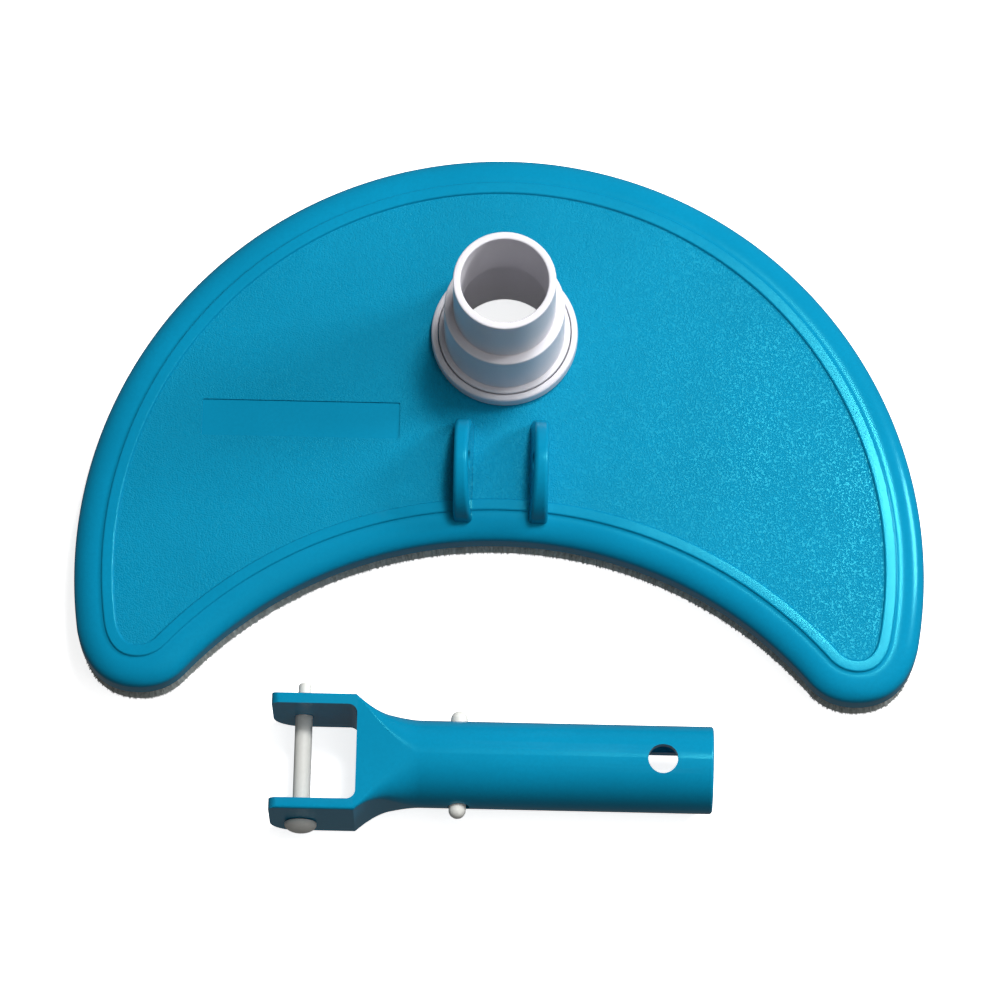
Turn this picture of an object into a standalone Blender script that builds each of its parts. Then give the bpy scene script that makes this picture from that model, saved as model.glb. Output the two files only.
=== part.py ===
"""Crescent pool vacuum head with its detached swing handle.

The head lies flat on its brushes, with the hose cuff standing on its back and two hinge lugs at
the hollow edge. The handle lies in front of it with its hinge pin still in the fork.
X runs along the head's width, the hollow edge faces -Y and the floor is at z = 0. Every piece is
laid out from the centre of the head's long outer edge, and an empty then moves the whole layout
along Y so that the origin is in the middle of its footprint.
"""

import math

import bmesh
import bpy

# ---- head shell ----
HEAD_HALF_WIDTH = 0.1400
HEAD_BACK = 0.1442
HEAD_TOP = 0.0195
WALL_BOTTOM = 0.0090
WALL = 0.0030
PLATE = 0.0030
EDGE_RADIUS = 0.0048
FRONT_RADIUS = 0.1365
FRONT_CENTRE_Y = -0.1264
TIP_Y = -0.0428
TIP_START = math.radians(-9.6)
TIP_FLAT = 0.0095
RIM_FLAT = 0.0044
BAND_WIDTH = 0.0040
BAND_HEIGHT = 0.0008
BAND_SLOPE = 0.0002
LABEL_CENTRE = (-0.0668, 0.0498)
LABEL_SIZE = (0.0655, 0.0126)
LABEL_DEPTH = 0.0005

# ---- hinge lugs ----
LUG_OUTER_X = 0.0156
LUG_BASE_THICKNESS = 0.0063
LUG_CREST_THICKNESS = 0.0045
LUG_Y = 0.0325
LUG_HALF_LENGTH = 0.0175
LUG_HEIGHT = 0.0183
LUG_PIN_HEIGHT = 0.0128
LUG_ROUNDING = 0.0013

# ---- hose cuff ----
CUFF_Y = 0.0800
CUFF_TOP = 0.0745
UPPER_RADIUS = 0.0168
UPPER_BORE = 0.01435
LOWER_RADIUS = 0.0199
LOWER_BORE = 0.0170
SHOULDER_Z = 0.0486
FLANGE_RADIUS = 0.0219
FLANGE_TOP = 0.0256
FLANGE_UNDER = 0.0215
NECK_RADIUS = 0.0185
NECK_BOTTOM = 0.0090
COLLAR_INNER = 0.0222
COLLAR_OUTER = 0.0243
COLLAR_TOP = 0.0250
PLATE_HOLE = 0.0189
LOCK_OUTER = 0.0225
LOCK_HEIGHT = 0.0032

# ---- brushes, ballast and screws ----
GAP = 0.0003
BRUSH_INSET = (WALL + 0.0004, WALL + 0.0104)
BRUSH_BASE_Z = (0.0100, 0.0140)
BRISTLE_ROOT_INSET = (WALL + 0.0008, WALL + 0.0054)
BRISTLE_TIP_INSET = (0.0001, 0.0060)
BRISTLE_SPLAY_Z = 0.0086
BRUSH_SCREW_INSET = 0.0112
FRONT_BRUSH_HALF_ANGLE = math.radians(46.2)
SIDE_BRUSH_START = 2
FRONT_SCREW_ANGLES = (math.radians(-38), 0.0, math.radians(38))
REAR_SCREW_ANGLES = (math.radians(8), math.radians(68))
BOSS_RADIUS = 0.0036
SCREW_RADIUS = 0.00125
SCREW_HOLE = 0.0016
SCREW_HEAD_RADIUS = 0.0024
SCREW_HEAD_HEIGHT = 0.0017
SCREW_LENGTH = 0.0084
COVER_SCREW_LENGTH = 0.0052
COVER_RADII = (0.0760, 0.1200)
COVER_ANGLES = (math.radians(12), math.radians(52))
COVER_BOTTOM = 0.0050
COVER_WALL = 0.0016
COVER_TAB_RADIUS = 0.0050
COVER_TAB_THICKNESS = 0.0032

# ---- handle ----
PIN_CENTRE = (-0.0627, -0.0665, 0.0115)
TUBE_RADIUS = 0.01425
TUBE_BORE = 0.01145
FORK_HALF_WIDTH = 0.0195
FORK_GAP = 0.0318
FORK_CORNER = 0.0009
EAR_END = -0.0101
EAR_TOP_CORNER = 0.0030
EAR_LOWER_CORNER = 0.0100
WEB_FACE = 0.0179
WEB_CORNER = 0.0030
NECK_START = 0.0175
NECK_END = 0.0290
FLAT_END = 0.0390
BORE_START = 0.0225
TUBE_END = 0.1339
TUBE_END_ROUNDING = 0.0010
WINDOW = (0.0380, 0.1275)
WINDOW_HALF_WIDTH = 0.0080
CROSS_HOLE_X = 0.1174
CROSS_HOLE_RADIUS = 0.00485
PIN_RADIUS = 0.00285
PIN_HOLE = 0.0031
PIN_TIP = 0.0077
PIN_HEAD_RADIUS = 0.00525
PIN_HEAD_HEIGHT = 0.0034

# ---- snap clip ----
CLIP_PIVOT_X = 0.0338
CLIP_RADIUS = 0.0103
CLIP_THICKNESS = 0.0012
CLIP_HALF_HEIGHT = 0.0040
CLIP_ARM_END = 0.0567
BUTTON_X = 0.0509
BUTTON_RADIUS = 0.0028
BUTTON_TIP = 0.0181
BUTTON_HOLE = 0.0035
BUTTON_HOLE_X = BUTTON_X + 0.0005

TUBE_AXIS_Z = TUBE_RADIUS - PIN_CENTRE[2]
PLATE_UNDER = HEAD_TOP - PLATE
LAYOUT_FRONT_Y = PIN_CENTRE[1] - FORK_HALF_WIDTH - GAP - PIN_HEAD_HEIGHT
SIDES = (("left", -1), ("right", 1))


# ---- scene and mesh helpers ----
def clear_scene():
    for thing in list(bpy.data.objects):
        bpy.data.objects.remove(thing, do_unlink=True)


def material(name, colour, roughness, metallic=0.0):
    made = bpy.data.materials.new(name)
    made.use_nodes = True
    shader = made.node_tree.nodes["Principled BSDF"]
    shader.inputs["Base Color"].default_value = (*colour, 1.0)
    shader.inputs["Roughness"].default_value = roughness
    shader.inputs["Metallic"].default_value = metallic
    return made


def add_object(name, mesh_maker, finish=None, location=(0, 0, 0)):
    """Turns a bmesh into an object at location, with its faces pointing out."""
    bmesh.ops.recalc_face_normals(mesh_maker, faces=mesh_maker.faces)
    mesh = bpy.data.meshes.new(name)
    mesh_maker.to_mesh(mesh)
    mesh_maker.free()
    thing = bpy.data.objects.new(name, mesh)
    thing.location = location
    bpy.context.scene.collection.objects.link(thing)
    if finish:
        mesh.materials.append(finish)
    bpy.context.view_layer.update()
    return thing


def loft(rings):
    """Joins rings that have the same number of points, and caps both ends."""
    mesh = bmesh.new()
    loops = [[mesh.verts.new(point) for point in ring] for ring in rings]
    for near, far in zip(loops, loops[1:]):
        for i in range(len(near)):
            j = (i + 1) % len(near)
            mesh.faces.new((near[i], near[j], far[j], far[i]))
    mesh.faces.new(list(reversed(loops[0])))
    mesh.faces.new(loops[-1])
    return mesh


def prism(outline, low, high):
    """The outline, a list of x and y, stood up between two heights."""
    return loft([[(x, y, low) for x, y in outline], [(x, y, high) for x, y in outline]])


def turned(profile, segments):
    """A closed profile of radius and height, turned about Z. It must not touch the axis."""
    mesh = bmesh.new()
    loops = []
    for i in range(segments):
        angle = 2 * math.pi * i / segments
        c, s = math.cos(angle), math.sin(angle)
        loops.append([mesh.verts.new((r * c, r * s, z)) for r, z in profile])
    for i in range(segments):
        near, far = loops[i], loops[(i + 1) % segments]
        for j in range(len(profile)):
            k = (j + 1) % len(profile)
            mesh.faces.new((near[j], near[k], far[k], far[j]))
    return mesh


def spindle(profile, segments, axis="Z"):
    """A solid turned piece: rings of radius and distance along the axis, with flat ends."""
    rings = []
    for radius, along in profile:
        ring = []
        for i in range(segments):
            angle = 2 * math.pi * (i + 0.5) / segments
            u, v = radius * math.cos(angle), radius * math.sin(angle)
            ring.append({"X": (along, u, v), "Y": (u, along, v), "Z": (u, v, along)}[axis])
        rings.append(ring)
    return loft(rings)


def rod(start, end, radius, segments, axis):
    return spindle([(radius, start), (radius, end)], segments, axis)


def boolean(target, tool_mesh, operation, location=(0, 0, 0)):
    """Cuts, joins or intersects the target with a bmesh, and keeps the result as its mesh."""
    tool = add_object("tool", tool_mesh, location=location)
    modifier = target.modifiers.new(operation.lower(), "BOOLEAN")
    modifier.operation = operation
    modifier.object = tool
    modifier.solver = "EXACT"
    graph = bpy.context.evaluated_depsgraph_get()
    result = bpy.data.meshes.new_from_object(target.evaluated_get(graph))
    target.modifiers.remove(modifier)
    target.data = result
    bpy.data.objects.remove(tool, do_unlink=True)


def smooth(thing, angle=32):
    thing.data.shade_smooth()
    thing.data.set_sharp_from_angle(angle=math.radians(angle))


def curve_through(start, control, end, steps):
    """Points after start on the quadratic curve from start to end."""
    points = []
    for i in range(1, steps + 1):
        t = i / steps
        a, b, c = (1 - t) ** 2, 2 * t * (1 - t), t**2
        points.append(tuple(a * p + b * q + c * r for p, q, r in zip(start, control, end)))
    return points


def spread(first, last, steps):
    return [first + (last - first) * i / steps for i in range(steps + 1)]


# ---- head outline ----
def rear_point(angle, inset):
    """A point on the long outer edge, moved inward. Angle 0 is +X and 90 degrees is +Y."""
    x = (HEAD_HALF_WIDTH - inset) * math.cos(angle)
    return (x, (HEAD_BACK - inset) * math.sin(angle))


def front_point(angle, inset):
    """A point on the hollow edge, moved inward. Angle 0 is the middle."""
    radius = FRONT_RADIUS + inset
    return (radius * math.sin(angle), FRONT_CENTRE_Y + radius * math.cos(angle))


def half_crescent(inset):
    """The right half of the outline, from the middle of the back round the tip to the hollow."""
    half = [rear_point(t, inset) for t in spread(math.pi / 2, TIP_START, 24)]
    tip_y = TIP_Y + inset
    corner_x = (HEAD_HALF_WIDTH - inset) * math.sqrt(1 - (tip_y / (HEAD_BACK - inset)) ** 2)
    notch_angle = math.acos((tip_y - FRONT_CENTRE_Y) / (FRONT_RADIUS + inset))
    notch = front_point(notch_angle, inset)
    flat = min(TIP_FLAT, 0.4 * (corner_x - notch[0]))
    half += curve_through(half[-1], (corner_x, tip_y), (notch[0] + flat, tip_y), 7)
    arc_start = notch_angle - flat / FRONT_RADIUS
    half += curve_through(half[-1], notch, front_point(arc_start, inset), 5)
    return half, arc_start


def crescent(inset):
    """The head's outline seen from above, moved inward by inset."""
    half, arc_start = half_crescent(inset)
    half += [front_point(t, inset) for t in spread(arc_start, 0.0, 13)[1:]]
    return half + [(-x, y) for x, y in half[-2:0:-1]]


# ---- head shell ----
def shell_rings():
    """Inset and height round the shell's section, from the plate's underside to its top."""
    rings = [(WALL, PLATE_UNDER), (WALL, WALL_BOTTOM), (0.0, WALL_BOTTOM)]
    for angle in spread(0.0, math.pi / 2, 4):
        inset = EDGE_RADIUS * (1 - math.cos(angle))
        rings.append((inset, HEAD_TOP - EDGE_RADIUS * (1 - math.sin(angle))))
    band_outer = EDGE_RADIUS + RIM_FLAT
    band_inner = band_outer + BAND_WIDTH
    band_top = HEAD_TOP + BAND_HEIGHT
    rings.append((band_outer, HEAD_TOP))
    rings.append((band_outer + BAND_SLOPE, band_top))
    rings.append((band_inner - BAND_SLOPE, band_top))
    rings.append((band_inner, HEAD_TOP))
    return rings


def lug(side):
    """One hinge lug: an arched fin with an upright outer face and a drafted inner face."""
    arch = [(LUG_Y + LUG_HALF_LENGTH * math.cos(t), LUG_HEIGHT * math.sin(t))
            for t in spread(0.0, math.pi, 16)]
    root = -PLATE / 2
    arch = [(arch[0][0], root)] + arch + [(arch[-1][0], root)]
    draft = (LUG_BASE_THICKNESS - LUG_CREST_THICKNESS) / LUG_HEIGHT
    inner_x = LUG_OUTER_X - LUG_BASE_THICKNESS
    outer = [(side * LUG_OUTER_X, y, HEAD_TOP + z) for y, z in arch]
    inner = [(side * (inner_x + draft * z), y, HEAD_TOP + z) for y, z in arch]
    mesh = loft([outer, inner])
    crest = [edge for edge in mesh.edges
             if abs(edge.verts[0].co.x - edge.verts[1].co.x) < LUG_BASE_THICKNESS / 3
             and max(v.co.z for v in edge.verts) > HEAD_TOP]
    bmesh.ops.bevel(mesh, geom=crest, offset=LUG_ROUNDING, segments=2, profile=0.5, affect="EDGES")
    return mesh


def screw_places():
    """Name, x and y of each brush screw."""
    places = []
    for number, angle in enumerate(FRONT_SCREW_ANGLES, start=1):
        places.append((f"brush_screw_front_{number}", *front_point(angle, BRUSH_SCREW_INSET)))
    for name, side in SIDES:
        for number, angle in enumerate(REAR_SCREW_ANGLES, start=1):
            x, y = rear_point(angle, BRUSH_SCREW_INSET)
            places.append((f"brush_screw_{name}_{number}", side * x, y))
    return places


def cover_tab_places(side):
    """The two screw tabs of a ballast cover, just past its ends."""
    middle = sum(COVER_RADII) / 2
    past_end = (COVER_TAB_RADIUS - 0.0010) / middle
    angles = (COVER_ANGLES[0] - past_end, COVER_ANGLES[1] + past_end)
    return [(side * middle * math.cos(t), middle * math.sin(t)) for t in angles]


def make_shell(finish):
    rings = [[(x, y, z) for x, y in crescent(inset)] for inset, z in shell_rings()]
    shell = add_object("head_shell", loft(rings), finish)
    for _, side in SIDES:
        boolean(shell, lug(side), "UNION")
    pin_z = HEAD_TOP + LUG_PIN_HEIGHT
    pin_hole = rod(-2 * LUG_OUTER_X, 2 * LUG_OUTER_X, PIN_HOLE, 20, "X")
    boolean(shell, pin_hole, "DIFFERENCE", (0, LUG_Y, pin_z))
    cuff_hole = rod(0, 2 * HEAD_TOP, PLATE_HOLE, 40, "Z")
    boolean(shell, cuff_hole, "DIFFERENCE", (0, CUFF_Y, 0))
    x, y = LABEL_CENTRE
    half_x, half_y = LABEL_SIZE[0] / 2, LABEL_SIZE[1] / 2
    frame = [(x - half_x, y - half_y), (x + half_x, y - half_y),
             (x + half_x, y + half_y), (x - half_x, y + half_y)]
    boolean(shell, prism(frame, HEAD_TOP - LABEL_DEPTH, HEAD_TOP + PLATE), "DIFFERENCE")
    boss_bottom = BRUSH_BASE_Z[1] + GAP
    for _, x, y in screw_places():
        boss = rod(boss_bottom, PLATE_UNDER + PLATE / 2, BOSS_RADIUS, 14, "Z")
        boolean(shell, boss, "UNION", (x, y, 0))
        pilot = rod(0, HEAD_TOP - PLATE / 3, SCREW_HOLE, 10, "Z")
        boolean(shell, pilot, "DIFFERENCE", (x, y, 0))
    for _, side in SIDES:
        for x, y in cover_tab_places(side):
            pilot = rod(0, HEAD_TOP - PLATE / 3, SCREW_HOLE, 10, "Z")
            boolean(shell, pilot, "DIFFERENCE", (x, y, 0))
    smooth(shell)


# ---- hose cuff, its collar, seal and lock ring ----
def make_cuff(white, rubber):
    place = (0, CUFF_Y, 0)
    lip = 0.0005
    profile = [
        (UPPER_BORE + lip, CUFF_TOP), (UPPER_RADIUS - lip, CUFF_TOP), (UPPER_RADIUS, CUFF_TOP - lip),
        (UPPER_RADIUS, SHOULDER_Z + lip), (LOWER_RADIUS - lip, SHOULDER_Z),
        (LOWER_RADIUS, SHOULDER_Z - lip), (LOWER_RADIUS, FLANGE_TOP),
        (FLANGE_RADIUS - lip, FLANGE_TOP), (FLANGE_RADIUS, FLANGE_TOP - lip),
        (FLANGE_RADIUS, FLANGE_UNDER), (NECK_RADIUS, FLANGE_UNDER), (NECK_RADIUS, NECK_BOTTOM),
        (LOWER_BORE, NECK_BOTTOM), (LOWER_BORE, SHOULDER_Z - 0.0030),
        (UPPER_BORE, SHOULDER_Z - 0.0004), (UPPER_BORE, CUFF_TOP - lip),
    ]
    cuff = add_object("hose_cuff", turned(profile, 40), white, place)
    smooth(cuff)

    foot = HEAD_TOP + GAP
    profile = [
        (COLLAR_INNER, foot), (COLLAR_OUTER, foot), (COLLAR_OUTER, COLLAR_TOP - 0.0014),
        (COLLAR_OUTER - 0.0007, COLLAR_TOP - 0.0003), (COLLAR_INNER + 0.0004, COLLAR_TOP),
        (COLLAR_INNER, COLLAR_TOP - 0.0003),
    ]
    smooth(add_object("cuff_collar", turned(profile, 40), white, place))

    seal_inner, seal_outer = PLATE_HOLE + GAP, FLANGE_RADIUS - GAP
    profile = [(seal_inner, foot), (seal_outer, foot),
               (seal_outer, FLANGE_UNDER - GAP), (seal_inner, FLANGE_UNDER - GAP)]
    smooth(add_object("cuff_seal", turned(profile, 28), rubber, place))

    top = PLATE_UNDER - GAP
    profile = [(NECK_RADIUS + GAP, top - LOCK_HEIGHT), (LOCK_OUTER, top - LOCK_HEIGHT),
               (LOCK_OUTER, top), (NECK_RADIUS + GAP, top)]
    smooth(add_object("cuff_lock_ring", turned(profile, 28), white, place))


# ---- brushes ----
def front_run(inset):
    """The front brush's path along the hollow edge."""
    angles = spread(-FRONT_BRUSH_HALF_ANGLE, FRONT_BRUSH_HALF_ANGLE, 16)
    return [front_point(t, inset) for t in angles]


def side_run(inset):
    """A side brush's path, from the back along the outer edge and round the tip."""
    return half_crescent(inset)[0][SIDE_BRUSH_START:]


def swept(path, section):
    """A closed section of inset and height, carried along a path."""
    runs = [path(inset) for inset, _ in section]
    heights = [z for _, z in section]
    return loft([[(*run[i], z) for run, z in zip(runs, heights)] for i in range(len(runs[0]))])


def bristle_section():
    """The bristles stand upright behind the wall and splay out under it to the floor."""
    root_z = BRUSH_BASE_Z[0] - GAP
    clear_of_wall = WALL + GAP
    return [(BRISTLE_ROOT_INSET[0], root_z), (clear_of_wall, BRISTLE_SPLAY_Z),
            (BRISTLE_TIP_INSET[0], 0.0), (BRISTLE_TIP_INSET[1], 0.0),
            (BRISTLE_ROOT_INSET[1], root_z)]


def make_brushes(base_finish, bristle_finish):
    for name in ("front", "left", "right"):
        path = front_run if name == "front" else side_run
        outline = path(BRUSH_INSET[0]) + path(BRUSH_INSET[1])[::-1]
        base = prism(outline, *BRUSH_BASE_Z)
        bristles = swept(path, bristle_section())
        if name == "left":
            for vert in list(base.verts) + list(bristles.verts):
                vert.co.x = -vert.co.x
        thing = add_object(f"brush_base_{name}", base, base_finish)
        for screw, x, y in screw_places():
            if screw.startswith(f"brush_screw_{name}"):
                hole = rod(0, HEAD_TOP, SCREW_HOLE, 10, "Z")
                boolean(thing, hole, "DIFFERENCE", (x, y, 0))
        smooth(thing)
        smooth(add_object(f"bristles_{name}", bristles, bristle_finish))


def screw_mesh(length):
    """A round-headed screw that points up, with the underside of its head at z = 0."""
    head, height = SCREW_HEAD_RADIUS, SCREW_HEAD_HEIGHT
    profile = [(0.55 * head, -height), (0.9 * head, -0.7 * height), (head, 0.0),
               (SCREW_RADIUS, 0.0), (SCREW_RADIUS, length - 0.0012), (0.4 * SCREW_RADIUS, length)]
    return spindle(profile, 10)


def make_screws(steel):
    for name, x, y in screw_places():
        place = (x, y, BRUSH_BASE_Z[0] - GAP)
        smooth(add_object(name, screw_mesh(SCREW_LENGTH), steel, place))
    under_tab = PLATE_UNDER - 2 * GAP - COVER_TAB_THICKNESS
    for side_name, side in SIDES:
        for number, (x, y) in enumerate(cover_tab_places(side), start=1):
            name = f"cover_screw_{side_name}_{number}"
            smooth(add_object(name, screw_mesh(COVER_SCREW_LENGTH), steel, (x, y, under_tab)))


# ---- ballast and its covers ----
def sector(side, inset):
    """The outline of a ballast pocket, moved inward by inset."""
    low, high = COVER_RADII[0] + inset, COVER_RADII[1] - inset
    turn = inset / (sum(COVER_RADII) / 2)
    angles = spread(COVER_ANGLES[0] + turn, COVER_ANGLES[1] - turn, 9)
    outer = [(side * high * math.cos(t), high * math.sin(t)) for t in angles]
    inner = [(side * low * math.cos(t), low * math.sin(t)) for t in angles]
    return outer + inner[::-1]


def make_ballast(iron, cover_finish):
    top = PLATE_UNDER - GAP
    for name, side in SIDES:
        slug = prism(sector(side, COVER_WALL + 0.0008), COVER_BOTTOM + COVER_WALL + GAP, top)
        smooth(add_object(f"ballast_{name}", slug, iron))
        cover = add_object(f"ballast_cover_{name}", prism(sector(side, 0.0), COVER_BOTTOM, top),
                           cover_finish)
        pocket = prism(sector(side, COVER_WALL), COVER_BOTTOM + COVER_WALL, HEAD_TOP)
        tab_low = top - COVER_TAB_THICKNESS
        for x, y in cover_tab_places(side):
            tab = rod(tab_low, top, COVER_TAB_RADIUS, 16, "Z")
            boolean(cover, tab, "UNION", (x, y, 0))
            hole = rod(tab_low - PLATE, HEAD_TOP, SCREW_HOLE, 10, "Z")
            boolean(cover, hole, "DIFFERENCE", (x, y, 0))
        boolean(cover, pocket, "DIFFERENCE")
        smooth(cover)


# ---- handle ----
def handle_ring(x, half_width, half_height, radius):
    """A rounded rectangle across the handle's length."""
    ring = []
    corners = ((1, 1, 0), (-1, 1, 90), (-1, -1, 180), (1, -1, 270))
    for side, up, start in corners:
        for step in spread(0, 90, 7):
            angle = math.radians(start + step)
            y = side * (half_width - radius) + radius * math.cos(angle)
            z = up * (half_height - radius) + radius * math.sin(angle)
            ring.append((x, y, TUBE_AXIS_Z + z))
    return ring


def handle_rings():
    """Sections from the fork's square end, through the waisted neck, to the round tube."""
    flush = TUBE_RADIUS - 0.00001
    rings = [handle_ring(EAR_END, FORK_HALF_WIDTH, TUBE_RADIUS, FORK_CORNER)]
    for x in spread(NECK_START, FLAT_END, 9):
        down = max(0.0, (NECK_END - x) / (NECK_END - NECK_START))
        half_width = TUBE_RADIUS + (FORK_HALF_WIDTH - TUBE_RADIUS) * down**2
        t = (x - NECK_START) / (FLAT_END - NECK_START)
        radius = FORK_CORNER + (flush - FORK_CORNER) * t * t * (3 - 2 * t)
        rings.append(handle_ring(x, half_width, TUBE_RADIUS, radius))
    rings.append(handle_ring(TUBE_END - TUBE_END_ROUNDING, TUBE_RADIUS, TUBE_RADIUS, flush))
    small = TUBE_RADIUS - TUBE_END_ROUNDING
    rings.append(handle_ring(TUBE_END, small, small, small - 0.00001))
    return rings


def upright(mesh):
    """Turns a prism drawn in x and y so that its outline lies in x and z."""
    for vert in mesh.verts:
        vert.co = (vert.co.x, -vert.co.z, vert.co.y)
    return mesh


def ear_corner_cutter(radius, up):
    """Removes one corner of the fork's ears outside an arc."""
    edge = TUBE_AXIS_Z + up * TUBE_RADIUS
    centre = (EAR_END + radius, edge - up * radius)
    reach = radius + 0.00005
    arc = [(centre[0] - reach * math.cos(t), centre[1] + up * reach * math.sin(t))
           for t in spread(0.0, math.pi / 2, 6)]
    outside = [(arc[-1][0], edge + up * 0.003), (EAR_END - 0.003, edge + up * 0.003),
               (EAR_END - 0.003, arc[0][1])]
    return upright(prism(arc + outside, -2 * FORK_HALF_WIDTH, 2 * FORK_HALF_WIDTH))


def fork_slot():
    """The gap between the ears, with rounded inner corners at the web."""
    half = FORK_GAP / 2
    points = [(2 * EAR_END, -half), (2 * EAR_END, half)]
    for sign, angles in ((1, spread(math.pi / 2, 0.0, 4)), (-1, spread(0.0, math.pi / 2, 4))):
        for t in angles:
            x = WEB_FACE - WEB_CORNER * (1 - math.cos(t))
            points.append((x, sign * (half - WEB_CORNER * (1 - math.sin(t)))))
    return prism(points, -2 * TUBE_RADIUS, 3 * TUBE_RADIUS)


def make_handle(finish):
    handle = add_object("handle", loft(handle_rings()), finish, PIN_CENTRE)
    x, y, z = PIN_CENTRE
    axis = (x, y, z + TUBE_AXIS_Z)
    boolean(handle, fork_slot(), "DIFFERENCE", PIN_CENTRE)
    boolean(handle, ear_corner_cutter(EAR_LOWER_CORNER, -1), "DIFFERENCE", PIN_CENTRE)
    boolean(handle, ear_corner_cutter(EAR_TOP_CORNER, 1), "DIFFERENCE", PIN_CENTRE)
    boolean(handle, rod(BORE_START, 2 * TUBE_END, TUBE_BORE, 32, "X"), "DIFFERENCE", axis)
    half = WINDOW_HALF_WIDTH
    window = [(WINDOW[0], -half), (WINDOW[1], -half), (WINDOW[1], half), (WINDOW[0], half)]
    boolean(handle, prism(window, -2 * TUBE_RADIUS, -0.3 * TUBE_BORE), "DIFFERENCE", axis)
    wide = 2 * FORK_HALF_WIDTH
    boolean(handle, rod(-wide, wide, PIN_HOLE, 20, "Y"), "DIFFERENCE", PIN_CENTRE)
    buttons = (x + BUTTON_HOLE_X, y, axis[2])
    boolean(handle, rod(-wide, wide, BUTTON_HOLE, 20, "Y"), "DIFFERENCE", buttons)
    cross = (x + CROSS_HOLE_X, y, axis[2])
    boolean(handle, rod(0, 2 * TUBE_RADIUS, CROSS_HOLE_RADIUS, 24, "Z"), "DIFFERENCE", cross)
    smooth(handle)


def make_pin(finish):
    """The hinge pin: a mushroom head on the near side and a narrowed tip on the far side."""
    under_head = -FORK_HALF_WIDTH - GAP
    tip = FORK_HALF_WIDTH + PIN_TIP
    head = PIN_HEAD_RADIUS
    profile = [
        (0.45 * head, under_head - PIN_HEAD_HEIGHT), (0.85 * head, under_head - 0.7 * PIN_HEAD_HEIGHT),
        (head, under_head - 0.3 * PIN_HEAD_HEIGHT), (0.96 * head, under_head),
        (PIN_RADIUS, under_head), (PIN_RADIUS, tip - 0.0048), (0.78 * PIN_RADIUS, tip - 0.0040),
        (0.74 * PIN_RADIUS, tip - 0.0010), (0.45 * PIN_RADIUS, tip),
    ]
    smooth(add_object("hinge_pin", spindle(profile, 18, "Y"), finish, PIN_CENTRE))


# ---- snap clip inside the tube ----
def make_clip(finish):
    x, y, z = PIN_CENTRE
    axis_z = z + TUBE_AXIS_Z
    inner = CLIP_RADIUS - CLIP_THICKNESS
    turn = spread(math.pi / 2, 3 * math.pi / 2, 14)
    outline = [(CLIP_RADIUS * math.cos(t), CLIP_RADIUS * math.sin(t)) for t in turn]
    outline += [(inner * math.cos(t), inner * math.sin(t)) for t in reversed(turn)]
    centre = (x + CLIP_PIVOT_X - GAP, y, axis_z)
    bend = prism(outline, -CLIP_HALF_HEIGHT, CLIP_HALF_HEIGHT)
    smooth(add_object("clip_bend", bend, finish, centre))

    pivot_y = CLIP_RADIUS - CLIP_THICKNESS / 2
    reach = CLIP_ARM_END - CLIP_PIVOT_X
    for name, side in (("near", -1), ("far", 1)):
        thin = CLIP_THICKNESS / 2
        blade = [(0, -thin), (reach, -thin), (reach, thin), (0, thin)]
        place = (x + CLIP_PIVOT_X, y + side * pivot_y, axis_z)
        arm = add_object(f"clip_arm_{name}", prism(blade, -CLIP_HALF_HEIGHT, CLIP_HALF_HEIGHT),
                         finish, place)
        tip = BUTTON_TIP - pivot_y
        dome = [(BUTTON_RADIUS * math.cos(t), tip - BUTTON_RADIUS * (1 - math.sin(t)))
                for t in spread(0.0, 1.2, 3)]
        profile = [(r, side * along) for r, along in [(BUTTON_RADIUS, 0.0)] + dome]
        button_place = (x + BUTTON_X, place[1], axis_z)
        boolean(arm, spindle(profile, 16, "Y"), "UNION", button_place)
        smooth(arm)


def centre_layout():
    """Parents every piece to an empty that puts the footprint's middle at the origin."""
    pieces = list(bpy.data.objects)
    layout = bpy.data.objects.new("layout", None)
    layout.location = (0, -(HEAD_BACK + LAYOUT_FRONT_Y) / 2, 0)
    bpy.context.scene.collection.objects.link(layout)
    for piece in pieces:
        piece.parent = layout


def build():
    clear_scene()
    blue = material("blue_plastic", (0.012, 0.262, 0.462), 0.28)
    white = material("white_plastic", (0.83, 0.83, 0.86), 0.35)
    pin_white = material("nylon_white", (0.76, 0.76, 0.74), 0.45)
    rubber = material("black_rubber", (0.02, 0.02, 0.02), 0.7)
    brush_grey = material("brush_base_grey", (0.30, 0.31, 0.33), 0.5)
    bristle_grey = material("bristle_grey", (0.55, 0.55, 0.53), 0.8)
    steel = material("screw_steel", (0.62, 0.62, 0.60), 0.3, 1.0)
    iron = material("ballast_iron", (0.20, 0.20, 0.21), 0.6, 1.0)
    make_shell(blue)
    make_cuff(white, rubber)
    make_brushes(brush_grey, bristle_grey)
    make_screws(steel)
    make_ballast(iron, blue)
    make_handle(blue)
    make_pin(pin_white)
    make_clip(pin_white)
    centre_layout()


build()
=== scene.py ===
"""The looks of the crescent pool vacuum head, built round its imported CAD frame.

Every piece is modelled in the layout's own frame, whose origin is the centre of the head's long
outer edge, and is then moved along Y to where the frame holds it. Lengths are in metres.
"""

import bisect
import math
import random

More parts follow.
